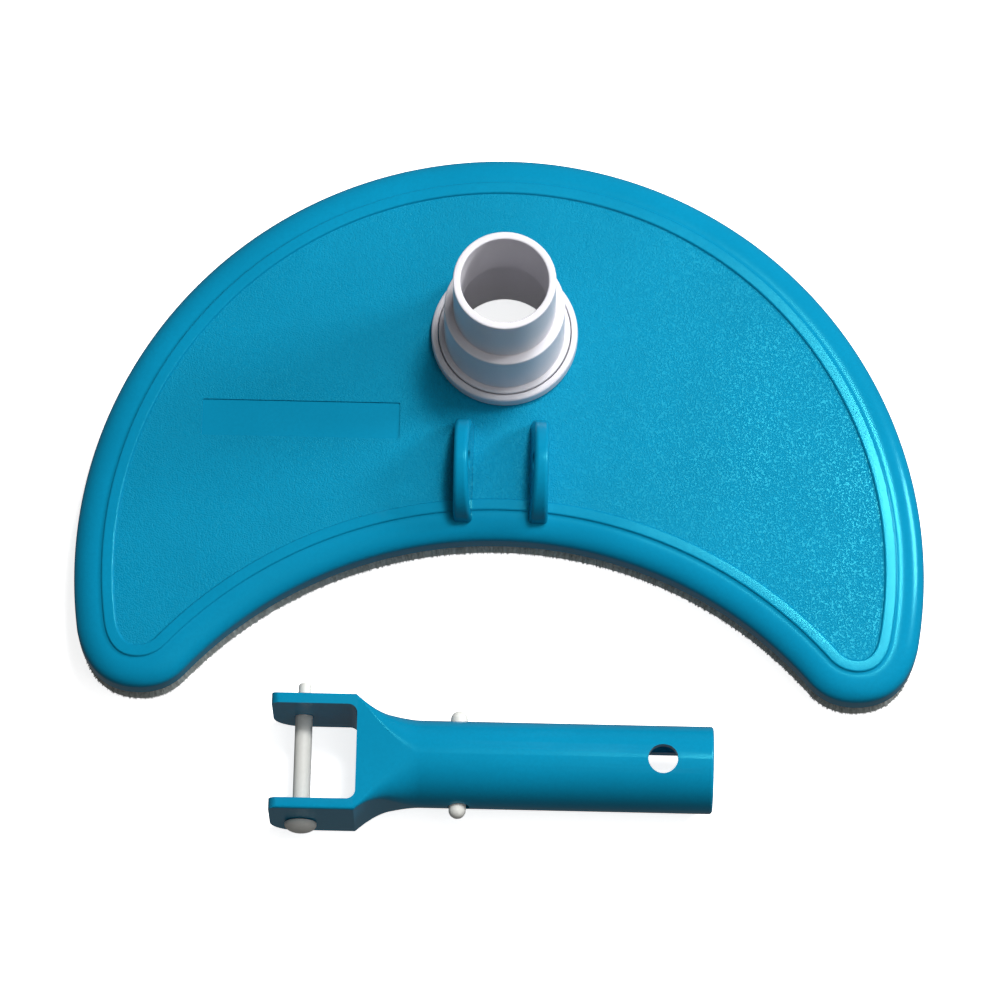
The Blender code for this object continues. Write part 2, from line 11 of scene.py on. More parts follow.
import bmesh
import bpy
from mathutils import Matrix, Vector


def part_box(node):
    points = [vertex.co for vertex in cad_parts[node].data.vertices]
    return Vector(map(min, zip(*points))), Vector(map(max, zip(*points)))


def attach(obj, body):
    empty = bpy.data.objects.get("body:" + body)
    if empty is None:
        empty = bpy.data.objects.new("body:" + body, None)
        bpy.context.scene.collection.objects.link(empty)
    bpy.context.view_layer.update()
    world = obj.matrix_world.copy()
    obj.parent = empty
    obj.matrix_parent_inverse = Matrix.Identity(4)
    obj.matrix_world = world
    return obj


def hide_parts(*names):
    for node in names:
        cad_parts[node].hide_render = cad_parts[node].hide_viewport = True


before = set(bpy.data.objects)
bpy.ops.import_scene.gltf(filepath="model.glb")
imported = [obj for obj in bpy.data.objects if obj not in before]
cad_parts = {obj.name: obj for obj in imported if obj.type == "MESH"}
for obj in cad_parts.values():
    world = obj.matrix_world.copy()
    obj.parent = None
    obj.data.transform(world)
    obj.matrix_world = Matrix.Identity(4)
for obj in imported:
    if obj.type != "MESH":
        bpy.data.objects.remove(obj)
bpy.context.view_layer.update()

SHELL_LOW, SHELL_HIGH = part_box("head_shell")
CUFF_LOW, CUFF_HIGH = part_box("hose_cuff")
HANDLE_LOW, HANDLE_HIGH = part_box("handle")
PIN_LOW, PIN_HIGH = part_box("hinge_pin")

SIDES = (("left", -1), ("right", 1))
GAP = 0.0003  # clearance between pieces that don't touch

# ---- head shell ----
HALF_WIDTH = SHELL_HIGH.x
HEAD_BACK = 0.1442
LAYOUT_Y = SHELL_HIGH.y - HEAD_BACK
HEAD_TOP = 0.0195
WALL_BOTTOM = SHELL_LOW.z
WALL = 0.0030
WALL_LIP = 0.0004
PLATE = 0.0030
PLATE_UNDER = HEAD_TOP - PLATE
EDGE_RADIUS = 0.0048
FRONT_RADIUS = 0.1365
FRONT_CENTRE_Y = -0.1264
TIP_Y = SHELL_LOW.y - LAYOUT_Y
TIP_START = math.radians(-9.6)
TIP_FLAT = 0.0095
RIM_FLAT = 0.0044
EDGE_ROLL = 0.72  # share of the rim's flat that the edge's rounding reaches over
BAND_WIDTH = 0.0040
BAND_HEIGHT = 0.0008
BAND_ROUNDING = 0.0006
BAND_TOE, BAND_TOE_RISE = 0.3, 0.12  # shares of the band's rounding and height
LABEL_CENTRE = (-0.0668, 0.0498)
LABEL_HALF = (0.03275, 0.0063)
LABEL_DEPTH, LABEL_CORNER = 0.0005, 0.0006

# ---- lugs ----
LUG_OUTER_X = 0.0156
LUG_BASE = 0.0063
LUG_CREST = 0.0045
LUG_Y = 0.0325
LUG_HALF_LENGTH = 0.0175
LUG_HEIGHT = SHELL_HIGH.z - HEAD_TOP
LUG_PIN_HEIGHT = 0.0128
LUG_ROUNDING = 0.0014

# ---- cuff ----
CUFF_Y = (CUFF_LOW.y + CUFF_HIGH.y) / 2 - LAYOUT_Y
CUFF_TOP = CUFF_HIGH.z
UPPER_RADIUS, UPPER_BORE = 0.0168, 0.01435
LOWER_RADIUS, LOWER_BORE = 0.0199, 0.0170
SHOULDER_Z = 0.0486
BORE_STEP = (0.0030, 0.0004)  # where the bore's cone starts and ends, under the shoulder
CUFF_LIP, FINE_EDGE = 0.0005, 0.0003
FLANGE_RADIUS, FLANGE_TOP, FLANGE_UNDER = 0.0219, 0.0256, 0.0215
NECK_RADIUS, NECK_BOTTOM = 0.0185, CUFF_LOW.z
COLLAR_INNER, COLLAR_OUTER, COLLAR_TOP = 0.0222, 0.0243, 0.0250
COLLAR_FOOT = HEAD_TOP + GAP
COLLAR_CHAMFER, COLLAR_ROUNDING, COLLAR_SHOULDER, COLLAR_LIP = 0.0002, 0.0010, 0.0012, 0.0004
PLATE_HOLE = 0.0189
LOCK_OUTER, LOCK_HEIGHT, LOCK_TOP = 0.0225, 0.0032, PLATE_UNDER - GAP
GRIPS, GRIP_RADIUS, GRIP_ROOF = 6, 0.0010, 0.0012  # roof: what is left above each notch

# ---- brushes ----
BRUSH_INSET = (WALL + 0.0004, WALL + 0.0104)
BRUSH_Z = (0.0100, 0.0140)
BASE_CHAMFER = 0.0004
FRONT_BRUSH_HALF_ANGLE = math.radians(46.2)
SIDE_BRUSH_START = 8  # steps of the half outline left open at the back, where water comes in
TUFT_ROWS = ((0.0046, 0.0006), (0.0060, 0.0030), (0.0074, 0.0051))  # inset at root and floor
TUFT_PITCH = 0.0020
TUFT_RADIUS = 0.0006
TUFT_FAN, TUFT_FAN_SPREAD, TUFT_FAN_ALONG = 1.3, 0.3, 1.6  # widening from root to floor
ROOT_OVERLAP = 0.0002
TIP_MIN_INSET, TIP_UNEVENNESS = 0.0003, 0.0004
FILAMENTS = 11  # in each tuft
FILAMENT_RADIUS = 0.00015
FILAMENT_TAPER = 0.8
FILAMENT_BEND, FILAMENT_BEND_DROP = 0.45, 0.52  # shares of its run and drop at the bend
FILAMENT_CORNERS = (0.3, 2.4, 4.5)  # radians round its section
PACKED_TOP = BRUSH_Z[0] - 0.0001
PACKED_SECTION = ((0.0044, PACKED_TOP), (0.0038, 0.0078), (0.0024, 0.0040),
                  (0.0006, 0.0003), (0.0052, 0.0003), (0.0078, PACKED_TOP))  # inset, height
FRONT_SPILL = 0.0047  # how far the front bristles fan out past their base

# ---- screws ----
BRUSH_SCREW_INSET = 0.0112
FRONT_SCREW_ANGLES = (math.radians(-38), 0.0, math.radians(38))
REAR_SCREW_ANGLES = (math.radians(8), math.radians(68))
BOSS_RADIUS = 0.0036
SCREW_RADIUS, SCREW_HOLE = 0.00125, 0.0016
SCREW_HEAD_RADIUS, SCREW_HEAD_HEIGHT = 0.0024, 0.0017
SCREW_LENGTH, COVER_SCREW_LENGTH = 0.0084, 0.0052
SCREW_POINT, SCREW_TIP = 0.0018, 0.25  # the point's length, and its tip's share of the radius
SCREW_CROWN_FLAT, CROWN_RISE = 0.35, 0.8
SCREW_HEAD_RIM, SCREW_HEAD_UNDER = 0.15, 0.94  # shares of the head's height and radius
THREAD_PITCH, THREAD_ROOT = 0.0008, 0.80  # root: share of the radius
SCREW_TURN = 0.7  # radians from one screw's recess to the next one's
RECESS_HALF = (0.62 * SCREW_HEAD_RADIUS, 0.00028)
RECESS_ROUNDING, RECESS_DEPTH = 0.0001, 0.55  # depth: share of the head's height

# ---- ballast ----
COVER_RADII = (0.0760, 0.1200)
COVER_ANGLES = (math.radians(12), math.radians(52))
COVER_BOTTOM, COVER_WALL = 0.0050, 0.0016
COVER_TAB_RADIUS, COVER_TAB_THICKNESS, COVER_TAB_OVERLAP = 0.0050, 0.0032, 0.0010
WEIGHT_CLEARANCE = 0.0008
BALLAST_TOP = PLATE_UNDER - GAP
BALLAST_EDGE = 0.0006

# ---- handle ----
PIN_CENTRE = Vector(((PIN_LOW.x + PIN_HIGH.x) / 2,
                     (HANDLE_LOW.y + HANDLE_HIGH.y) / 2 - LAYOUT_Y,
                     (PIN_LOW.z + PIN_HIGH.z) / 2))
TUBE_RADIUS = HANDLE_HIGH.z / 2
TUBE_AXIS_Z = TUBE_RADIUS - PIN_CENTRE.z
TUBE_BORE = 0.01145
FORK_HALF_WIDTH = (HANDLE_HIGH.y - HANDLE_LOW.y) / 2
FORK_GAP = 0.0318
FORK_CORNER = 0.0009
EAR_END = HANDLE_LOW.x - PIN_CENTRE.x
EAR_TOP_CORNER, EAR_LOWER_CORNER = 0.0030, 0.0100
WEB_FACE, WEB_CORNER = 0.0179, 0.0030
NECK_START, NECK_END, FLAT_END = 0.0175, 0.0290, 0.0390
BORE_START = 0.0225
TUBE_END = HANDLE_HIGH.x - PIN_CENTRE.x
TUBE_END_ROUNDING = 0.0010
NEARLY_ROUND = 0.00001  # keeps a sliver of flat on a round section, so its points stay apart
HANDLE_BEVEL = 0.00035
CUTTER_OVERLAP, CUTTER_MARGIN = 0.00005, 0.003
WINDOW_ROOF = 0.3 * TUBE_BORE  # how far under the tube's axis the window's cutter stops
WINDOW, WINDOW_HALF_WIDTH, WINDOW_CORNER = (0.0380, 0.1275), 0.0080, 0.0020
CROSS_HOLE_X, CROSS_HOLE_RADIUS = 0.1174, 0.00485
PIN_RADIUS, PIN_HOLE = 0.00285, 0.0031
PIN_TIP = 0.0077
PIN_TIP_PROFILE = ((1.0, 0.0050), (0.97, 0.0048), (0.80, 0.0042), (0.76, 0.0038), (0.74, 0.0010),
                   (0.70, 0.0005), (0.60, 0.0001), (0.45, 0.0))  # share of radius, back from tip
PIN_HEAD_RADIUS, PIN_HEAD_HEIGHT, PIN_HEAD_EDGE = 0.00525, 0.0034, 0.0003
PIN_HEAD_UNDER, PIN_CROWN_FLAT = 0.96, 0.30
CLIP_PIVOT_X, CLIP_RADIUS, CLIP_THICKNESS = 0.0338, 0.0103, 0.0012
CLIP_HALF_HEIGHT, CLIP_ARM_END, CLIP_CORNER = 0.0040, 0.0567, 0.0012
BEND_BEVEL, ARM_BEVEL = 0.0002, 0.00015
BUTTON_DOME = 1.35  # radians of the button's rounding
BUTTON_X, BUTTON_RADIUS, BUTTON_TIP, BUTTON_HOLE = 0.0509, 0.0028, 0.0181, 0.0035
BUTTON_HOLE_X = BUTTON_X + 0.0005

# ---- view ----
CAMERA_ELEVATION = math.radians(72)
CAMERA_DISTANCE = 1.9995
CAMERA_LENS = 215.8
CAMERA_TURN = math.radians(1.3)
SENSOR_WIDTH = 36.0
TARGET = Vector((-0.0002, 0.0291 + LAYOUT_Y, 0.0))

# ---- light: azimuth and elevation in degrees, distance and side in metres, power in watts ----
KEY = (57, 69, 1.2, 0.30, 7.9)
OVERHEAD = (335, 66, 0.85, 0.60, 2.0)
SHEEN = (57, 69, 1.2, 0.13, 4.4)
WINDOW_LIGHT = (22, 31, 1.2, 0.28, 8.5)
SKY_STRENGTH = 0.13
FLOOR_GLOW = 0.80
FLOOR_REACH, FLOOR_Z = 6.0, -0.0001

# ---- mesh fineness ----
CUFF_SEGMENTS, BORE_SEGMENTS, PIN_SEGMENTS, HOLE_SEGMENTS = 128, 96, 56, 40
BOSS_SEGMENTS, SCREW_SEGMENTS, PILOT_SEGMENTS, GRIP_SEGMENTS = 32, 28, 20, 16
SECTION_STEPS = 18
BEVEL_SEGMENTS, BEVEL_ANGLE = 2, math.radians(50)
SHARP_ANGLE = math.radians(40)
FLAT_FACE_WEIGHT = 60


# ---- mesh helpers ----
def add_object(name, mesh_maker, materials=(), location=(0, 0, 0)):
    """Turns a bmesh into an object with the given materials."""
    bmesh.ops.recalc_face_normals(mesh_maker, faces=mesh_maker.faces)
    mesh = bpy.data.meshes.new(name)
    mesh_maker.to_mesh(mesh)
    mesh_maker.free()
    thing = bpy.data.objects.new(name, mesh)
    thing.location = location
    bpy.context.scene.collection.objects.link(thing)
    for made in materials:
        mesh.materials.append(made)
    bpy.context.view_layer.update()
    return thing


def loft(rings, last_cap_material=0):
    """Joins rings that have the same number of points, and caps both ends."""
    mesh = bmesh.new()
    loops = [[mesh.verts.new(point) for point in ring] for ring in rings]
    for near, far in zip(loops, loops[1:]):
        for i in range(len(near)):
            j = (i + 1) % len(near)
            mesh.faces.new((near[i], near[j], far[j], far[i]))
    mesh.faces.new(list(reversed(loops[0])))
    mesh.faces.new(loops[-1]).material_index = last_cap_material
    return mesh


def prism(outline, low, high):
    """An outline in x and y, raised from one height to another."""
    return loft([[(x, y, low) for x, y in outline], [(x, y, high) for x, y in outline]])


def turned(profile, segments):
    """A closed profile of radius and height, turned about Z. It must not touch the axis."""
    mesh = bmesh.new()
    loops = []
    for i in range(segments):
        angle = 2 * math.pi * i / segments
        c, s = math.cos(angle), math.sin(angle)
        loops.append([mesh.verts.new((r * c, r * s, z)) for r, z in profile])
    for i in range(segments):
        near, far = loops[i], loops[(i + 1) % segments]
        for j in range(len(profile)):
            k = (j + 1) % len(profile)
            mesh.faces.new((near[j], near[k], far[k], far[j]))
    return mesh


def spindle(profile, segments, axis="Z"):
    """A solid turned piece: rings of radius and distance along the axis, with flat ends."""
    rings = []
    for radius, along in profile:
        ring = []
        for i in range(segments):
            angle = 2 * math.pi * (i + 0.5) / segments
            u, v = radius * math.cos(angle), radius * math.sin(angle)
            ring.append({"X": (along, u, v), "Y": (u, along, v), "Z": (u, v, along)}[axis])
        rings.append(ring)
    return loft(rings)


def rod(start, end, radius, segments, axis):
    """A plain cylinder from start to end along the axis."""
    return spindle([(radius, start), (radius, end)], segments, axis)


def apply_modifier(thing, modifier):
    """Bakes the modifier into the object's mesh."""
    graph = bpy.context.evaluated_depsgraph_get()
    result = bpy.data.meshes.new_from_object(thing.evaluated_get(graph))
    thing.modifiers.remove(modifier)
    thing.data = result


def boolean(target, tool_mesh, operation, location=(0, 0, 0)):
    """Adds the tool's mesh to the target, or cuts it away."""
    tool = add_object("tool", tool_mesh, location=location)
    modifier = target.modifiers.new(operation.lower(), "BOOLEAN")
    modifier.operation = operation
    modifier.object = tool
    modifier.solver = "EXACT"
    apply_modifier(target, modifier)
    bpy.data.objects.remove(tool, do_unlink=True)


def finish_edges(thing, bevel=0.0):
    """Smooth shading with sharp creases, after a small bevel where one is asked for."""
    thing.data.shade_smooth()
    if bevel:
        modifier = thing.modifiers.new("soft_edges", "BEVEL")
        modifier.width = bevel
        modifier.segments = BEVEL_SEGMENTS
        modifier.limit_method = "ANGLE"
        modifier.angle_limit = BEVEL_ANGLE
        modifier.use_clamp_overlap = True
        modifier.miter_outer = "MITER_ARC"
        apply_modifier(thing, modifier)
        thing.data.shade_smooth()
    thing.data.set_sharp_from_angle(angle=SHARP_ANGLE)
    weighted = thing.modifiers.new("flat_faces_stay_flat", "WEIGHTED_NORMAL")
    weighted.keep_sharp = True
    weighted.weight = FLAT_FACE_WEIGHT


def place(thing, body, slot, *nodes):
    """Moves the piece from the layout's frame to the row's, hangs it on its body, and hides the
    imported parts it stands for.
    """
    thing.location = Vector(thing.location) + Vector((0, LAYOUT_Y, 0))
    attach(thing, body)
    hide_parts(*nodes)


def curve_through(start, control, end, steps):
    """Points of a quadratic curve after its start, bent towards the control point."""
    points = []
    for i in range(1, steps + 1):
        t = i / steps
        a, b, c = (1 - t) ** 2, 2 * t * (1 - t), t**2
        points.append(tuple(a * p + b * q + c * r for p, q, r in zip(start, control, end)))
    return points


def spread(first, last, steps):
    """Evenly spaced values from first to last, both included."""
    return [first + (last - first) * i / steps for i in range(steps + 1)]


def rounded_rectangle(centre, half, radius, steps=6):
    """An outline of half-width and half-height, with each corner an arc."""
    points = []
    for side, up, start in ((1, 1, 0), (-1, 1, 90), (-1, -1, 180), (1, -1, 270)):
        for degrees in spread(0, 90, steps):
            angle = math.radians(start + degrees)
            points.append((centre[0] + side * (half[0] - radius) + radius * math.cos(angle),
                           centre[1] + up * (half[1] - radius) + radius * math.sin(angle)))
    return points


# ---- materials ----
PLASTIC_IOR = 1.49
SUBSURFACE_DEPTH = 0.003


class Graph:
    """Adds nodes to one material, and links them, in few words."""

    def __init__(self, name):
        self.material = bpy.data.materials.new(name)
        self.material.use_nodes = True
        self.tree = self.material.node_tree
        self.shader = self.tree.nodes["Principled BSDF"]
        self.object_space = self.tree.nodes.new("ShaderNodeTexCoord").outputs["Object"]

    def node(self, kind, inputs=None, **settings):
        made = self.tree.nodes.new(kind)
        for key, value in settings.items():
            setattr(made, key, value)
        for key, value in (inputs or {}).items():
            self.feed(made.inputs[key], value)
        return made

    def feed(self, socket, value):
        if isinstance(value, bpy.types.NodeSocket):
            self.tree.links.new(value, socket)
        else:
            socket.default_value = value

    def surface(self, name, value):
        """Sets one input of the Principled shader."""
        self.feed(self.shader.inputs[name], value)

    def noise(self, scale, detail=2.0, roughness=0.5, stretch=None):
        vector = self.object_space
        if stretch:
            mapping = self.node("ShaderNodeMapping", {"Vector": vector, "Scale": stretch})
            vector = mapping.outputs["Vector"]
        made = self.node("ShaderNodeTexNoise", {
            "Vector": vector, "Scale": scale, "Detail": detail, "Roughness": roughness})
        return made.outputs["Fac"]

    def cells(self, scale):
        """Rounded cells, as in leather grain."""
        made = self.node("ShaderNodeTexVoronoi", {
            "Vector": self.object_space, "Scale": scale, "Smoothness": 0.6},
            feature="SMOOTH_F1")
        return made.outputs["Distance"]

    def remap(self, value, low, high, to_low, to_high):
        """Stretches low..high to to_low..to_high, and clamps outside it."""
        made = self.node("ShaderNodeMapRange", {
            "Value": value, "From Min": low, "From Max": high,
            "To Min": to_low, "To Max": to_high})
        return made.outputs["Result"]

    def mix(self, factor, first, second):
        """Blends two colours. The node's colour sockets are found by number."""
        made = self.node("ShaderNodeMix", data_type="RGBA")
        self.feed(made.inputs[0], factor)
        self.feed(made.inputs[6], first)
        self.feed(made.inputs[7], second)
        return made.outputs[2]

    def math(self, operation, first, second):
        made = self.node("ShaderNodeMath", operation=operation)
        self.feed(made.inputs[0], first)
        self.feed(made.inputs[1], second)
        return made.outputs[0]

    def bump(self, height, distance, strength, below=None):
        made = self.node("ShaderNodeBump", {
            "Height": height, "Distance": distance, "Strength": strength})
        if below is not None:
            self.feed(made.inputs["Normal"], below)
        return made.outputs["Normal"]

    def edges(self, low, high):
        """Near 1 on outer corners of the mesh, and 0 elsewhere."""
        pointiness = self.node("ShaderNodeNewGeometry").outputs["Pointiness"]
        return self.remap(pointiness, low, high, 0.0, 1.0)


def shade(colour, factor):
    """The colour made lighter or darker, with its alpha added."""
    return (*(min(1.0, c * factor) for c in colour), 1.0)


def moulded(name, colour, roughness, variation=0.06, peel=0.25, scuff=0.03, edge=0.04,
            grain=False, subsurface=0.0, gloss=0.5, tint=(1.0, 1.0, 1.0)):
    """Injection-moulded plastic: slow colour drift, orange peel, faint scuffs, and paler edges that are
    partly edge wear and partly a painted highlight.
    """
    graph = Graph(name)
    drift = graph.remap(graph.noise(22.0, detail=3.0), 0.3, 0.7, 0.0, 1.0)
    base = graph.mix(drift, shade(colour, 1 - variation), shade(colour, 1 + variation))
    fine = graph.remap(graph.noise(900.0, detail=2.0), 0.35, 0.65, 0.0, 0.35)
    base = graph.mix(fine, base, shade(colour, 1 - 2 * variation))
    # paler convex edges from pointiness: partly edge wear, partly a painted highlight along every edge
    edge_wear_and_highlight = graph.math("MULTIPLY", graph.edges(0.52, 0.62), graph.noise(140.0, detail=3.0))
    edge_wear_and_highlight = graph.math("MULTIPLY", edge_wear_and_highlight, edge)
    base = graph.mix(edge_wear_and_highlight, base, shade([c * 0.8 + 0.15 for c in colour], 1.0))
    graph.surface("Base Color", base)
    scratches = graph.noise(60.0, detail=5.0, roughness=0.65, stretch=(1.0, 7.0, 1.0))
    streaks = graph.remap(scratches, 0.52, 0.75, 0.0, scuff)
    patches = graph.remap(graph.noise(35.0, detail=2.0), 0.3, 0.7, roughness * 0.85, roughness * 1.15)
    rough = graph.math("ADD", patches, streaks)
    normal = graph.bump(graph.noise(420.0, detail=3.0), 0.00004, peel)
    if grain:
        hide = graph.math("ADD", graph.cells(1900.0), graph.noise(2600.0, detail=2.0, roughness=0.6))
        creases = graph.remap(hide, 0.55, 1.15, 0.0, 1.0)
        normal = graph.bump(creases, distance=0.00012, strength=1.0, below=normal)
        rough = graph.math("ADD", rough, graph.remap(creases, 0.0, 1.0, 0.10, 0.0))
    graph.surface("Roughness", rough)
    graph.surface("Normal", normal)
    graph.surface("IOR", PLASTIC_IOR)
    graph.surface("Specular Tint", (*tint, 1.0))
    graph.surface("Specular IOR Level", gloss)
    graph.surface("Subsurface Weight", subsurface)
    graph.surface("Subsurface Radius", (SUBSURFACE_DEPTH,) * 3)
    graph.surface("Subsurface Scale", 1.0)
    return graph.material


def rubber_material():
    """Matt black rubber with a faint grey bloom."""
    graph = Graph("seal_rubber")
    bloom = graph.remap(graph.noise(90.0, detail=4.0), 0.35, 0.75, 0.0, 1.0)
    graph.surface("Base Color", graph.mix(bloom, (0.016, 0.016, 0.017, 1), (0.045, 0.044, 0.042, 1)))
    graph.surface("Roughness", graph.remap(bloom, 0.0, 1.0, 0.58, 0.82))
    graph.surface("Normal", graph.bump(graph.noise(1600.0, detail=2.0), 0.00005, 0.5))
    return graph.material


def bristle_material():
    """Grey nylon filaments, each a slightly different grey, paler and duller at the tips."""
    graph = Graph("bristle_filaments")
    each = graph.noise(1500.0, detail=1.0, roughness=0.5, stretch=(1.0, 1.0, 0.02))
    grey = graph.mix(graph.remap(each, 0.3, 0.7, 0.0, 1.0),
                     (0.33, 0.38, 0.37, 1), (0.57, 0.61, 0.59, 1))
    height = graph.node("ShaderNodeSeparateXYZ", {"Vector": graph.object_space}).outputs["Z"]
    tips = graph.remap(height, 0.0025, 0.0, 0.0, 0.45)
    graph.surface("Base Color", graph.mix(tips, grey, (0.56, 0.56, 0.54, 1)))
    graph.surface("Roughness", graph.remap(each, 0.3, 0.7, 0.45, 0.65))
    graph.surface("Normal", graph.bump(graph.noise(5000.0), 0.00002, 0.4))
    return graph.material


def steel_material():
    """Turned stainless steel with a little brown staining."""
    graph = Graph("stainless_steel")
    turning = graph.noise(700.0, detail=4.0, roughness=0.6, stretch=(1.0, 1.0, 6.0))
    stain = graph.remap(graph.noise(260.0, detail=4.0), 0.55, 0.8, 0.0, 0.5)
    graph.surface("Base Color", graph.mix(stain, (0.63, 0.62, 0.60, 1), (0.42, 0.39, 0.35, 1)))
    graph.surface("Roughness", graph.remap(turning, 0.3, 0.7, 0.22, 0.42))
    graph.surface("Normal", graph.bump(turning, 0.00003, 0.5))
    graph.surface("Metallic", 1.0)
    return graph.material


def iron_material():
    """Dark cast iron with patches of rust."""
    graph = Graph("cast_iron")
    scale = graph.noise(240.0, detail=6.0, roughness=0.65)
    rust = graph.remap(graph.noise(75.0, detail=5.0), 0.56, 0.72, 0.0, 0.75)
    metal = graph.mix(scale, (0.12, 0.12, 0.125, 1), (0.27, 0.27, 0.27, 1))
    graph.surface("Base Color", graph.mix(rust, metal, (0.20, 0.085, 0.035, 1)))
    graph.surface("Roughness", graph.remap(rust, 0.0, 0.75, 0.50, 0.88))
    graph.surface("Metallic", graph.remap(rust, 0.0, 0.75, 0.9, 0.15))
    graph.surface("Normal", graph.bump(scale, 0.0003, 0.8))
    return graph.material


BLUE = (0.002, 0.206, 0.362)
BLUE_GLOSS = (0.12, 0.92, 0.92)
blue_smooth = moulded("blue_smooth", BLUE, 0.20, gloss=0.34, tint=BLUE_GLOSS)
blue_grained = moulded("blue_grained", BLUE, 0.28, grain=True, edge=0.0, gloss=0.40, tint=BLUE_GLOSS)
blue_label = moulded("blue_label", BLUE, 0.34, peel=0.6, edge=0.0, gloss=0.16, tint=BLUE_GLOSS)
blue_satin = moulded("blue_satin", (0.002, 0.170, 0.320), 0.42, peel=0.6, gloss=0.16, tint=BLUE_GLOSS)
white_moulded = moulded("white_moulded", (0.64, 0.63, 0.67), 0.34, variation=0.012, scuff=0.0,
                        peel=0.04, edge=0.0, subsurface=0.45, gloss=0.30)
nylon = moulded("natural_nylon", (0.72, 0.72, 0.68), 0.42, variation=0.035, peel=0.7, edge=0.05,
                subsurface=0.20)
brush_grey = moulded("brush_grey", (0.22, 0.23, 0.25), 0.50, peel=0.8)
rubber = rubber_material()
bristle = bristle_material()
steel = steel_material()
iron = iron_material()


# ---- head outline ----
def rear_point(angle, inset):
    """A point on the long outer edge, moved inward. Angle 0 is +X and 90 degrees is +Y."""
    return ((HALF_WIDTH - inset) * math.cos(angle), (HEAD_BACK - inset) * math.sin(angle))


def front_point(angle, inset):
    """A point on the hollow edge, moved inward. Angle 0 is the middle."""
    radius = FRONT_RADIUS + inset
    return (radius * math.sin(angle), FRONT_CENTRE_Y + radius * math.cos(angle))


def half_crescent(inset):
    """The right half of the outline, from the middle of the back round the tip to the hollow."""
    half = [rear_point(t, inset) for t in spread(math.pi / 2, TIP_START, 96)]
    tip_y = TIP_Y + inset
    corner_x = (HALF_WIDTH - inset) * math.sqrt(1 - (tip_y / (HEAD_BACK - inset)) ** 2)
    notch_angle = math.acos((tip_y - FRONT_CENTRE_Y) / (FRONT_RADIUS + inset))
    notch = front_point(notch_angle, inset)
    flat = min(TIP_FLAT, 0.4 * (corner_x - notch[0]))
    half += curve_through(half[-1], (corner_x, tip_y), (notch[0] + flat, tip_y), 20)
    arc_start = notch_angle - flat / FRONT_RADIUS
    half += curve_through(half[-1], notch, front_point(arc_start, inset), 14)
    return half, arc_start


def crescent(inset):
    """The head's outline seen from above, moved inward by inset."""
    half, arc_start = half_crescent(inset)
    half += [front_point(t, inset) for t in spread(arc_start, 0.0, 60)[1:]]
    return half + [(-x, y) for x, y in half[-2:0:-1]]


# ---- head shell ----
def quarter(centre, radius, first, last, steps):
    """Points on an arc from first to last, in degrees, for a section's rounding."""
    return [(centre[0] + radius * math.cos(math.radians(t)),
             centre[1] + radius * math.sin(math.radians(t))) for t in spread(first, last, steps)]


def shell_section():
    """Inset and height round the shell's section, from the plate's underside to its top."""
    lip = WALL_LIP
    section = [(WALL, PLATE_UNDER)]
    section += quarter((WALL - lip, WALL_BOTTOM + lip), lip, 0, -90, 3)
    section += quarter((lip, WALL_BOTTOM + lip), lip, 270, 180, 3)
    roll = EDGE_RADIUS + EDGE_ROLL * RIM_FLAT
    section += [(roll + roll * math.cos(t), HEAD_TOP - EDGE_RADIUS * (1 - math.sin(t)))
                for t in spread(math.pi, math.pi / 2, SECTION_STEPS)]
    outer = EDGE_RADIUS + RIM_FLAT
    inner = outer + BAND_WIDTH
    r = BAND_ROUNDING
    top = HEAD_TOP + BAND_HEIGHT
    toe = BAND_TOE * r
    section += [(outer - r, HEAD_TOP), (outer - toe, HEAD_TOP + BAND_TOE_RISE * BAND_HEIGHT)]
    section += quarter((outer + r, top - r), r, 180, 90, 4)
    section += quarter((inner - r, top - r), r, 90, 0, 4)
    section += [(inner + toe, HEAD_TOP)]
    return section


def lug(side):
    """One hinge lug: an arched fin with rounded rims, upright outside and drafted inside."""
    inner_x = LUG_OUTER_X - LUG_BASE
    draft = (LUG_BASE - LUG_CREST) / LUG_HEIGHT
    root = -PLATE / 2
    r = LUG_ROUNDING
    steps = [(inset, r - math.sqrt(r**2 - (r - inset) ** 2))
             for inset in (r * (1 - math.cos(t)) for t in spread(math.pi / 2, 0, 6))]

    def arch(inset, x_of):
        points = [(LUG_Y + (LUG_HALF_LENGTH - inset) * math.cos(t),
                   (LUG_HEIGHT - inset) * math.sin(t)) for t in spread(0.0, math.pi, 48)]
        points = [(points[0][0], root)] + points + [(points[-1][0], root)]
        return [(side * x_of(max(0.0, z)), y, HEAD_TOP + z) for y, z in points]

    rings = [arch(inset, lambda z, d=depth: LUG_OUTER_X - d) for inset, depth in steps]
    rings += [arch(inset, lambda z, d=depth: inner_x + draft * z + d)
              for inset, depth in reversed(steps)]
    return loft(rings)


def screw_places():
    """Name and place of each brush screw."""
    places = []
    for number, angle in enumerate(FRONT_SCREW_ANGLES, start=1):
        places.append((f"brush_screw_front_{number}", *front_point(angle, BRUSH_SCREW_INSET)))
    for name, side in SIDES:
        for number, angle in enumerate(REAR_SCREW_ANGLES, start=1):
            x, y = rear_point(angle, BRUSH_SCREW_INSET)
            places.append((f"brush_screw_{name}_{number}", side * x, y))
    return places


def cover_tab_places(side):
    """The middles of the two round tabs that hold a ballast cover, just past its ends."""
    middle = sum(COVER_RADII) / 2
    past_end = (COVER_TAB_RADIUS - COVER_TAB_OVERLAP) / middle
    angles = (COVER_ANGLES[0] - past_end, COVER_ANGLES[1] + past_end)
    return [(side * middle * math.cos(t), middle * math.sin(t)) for t in angles]


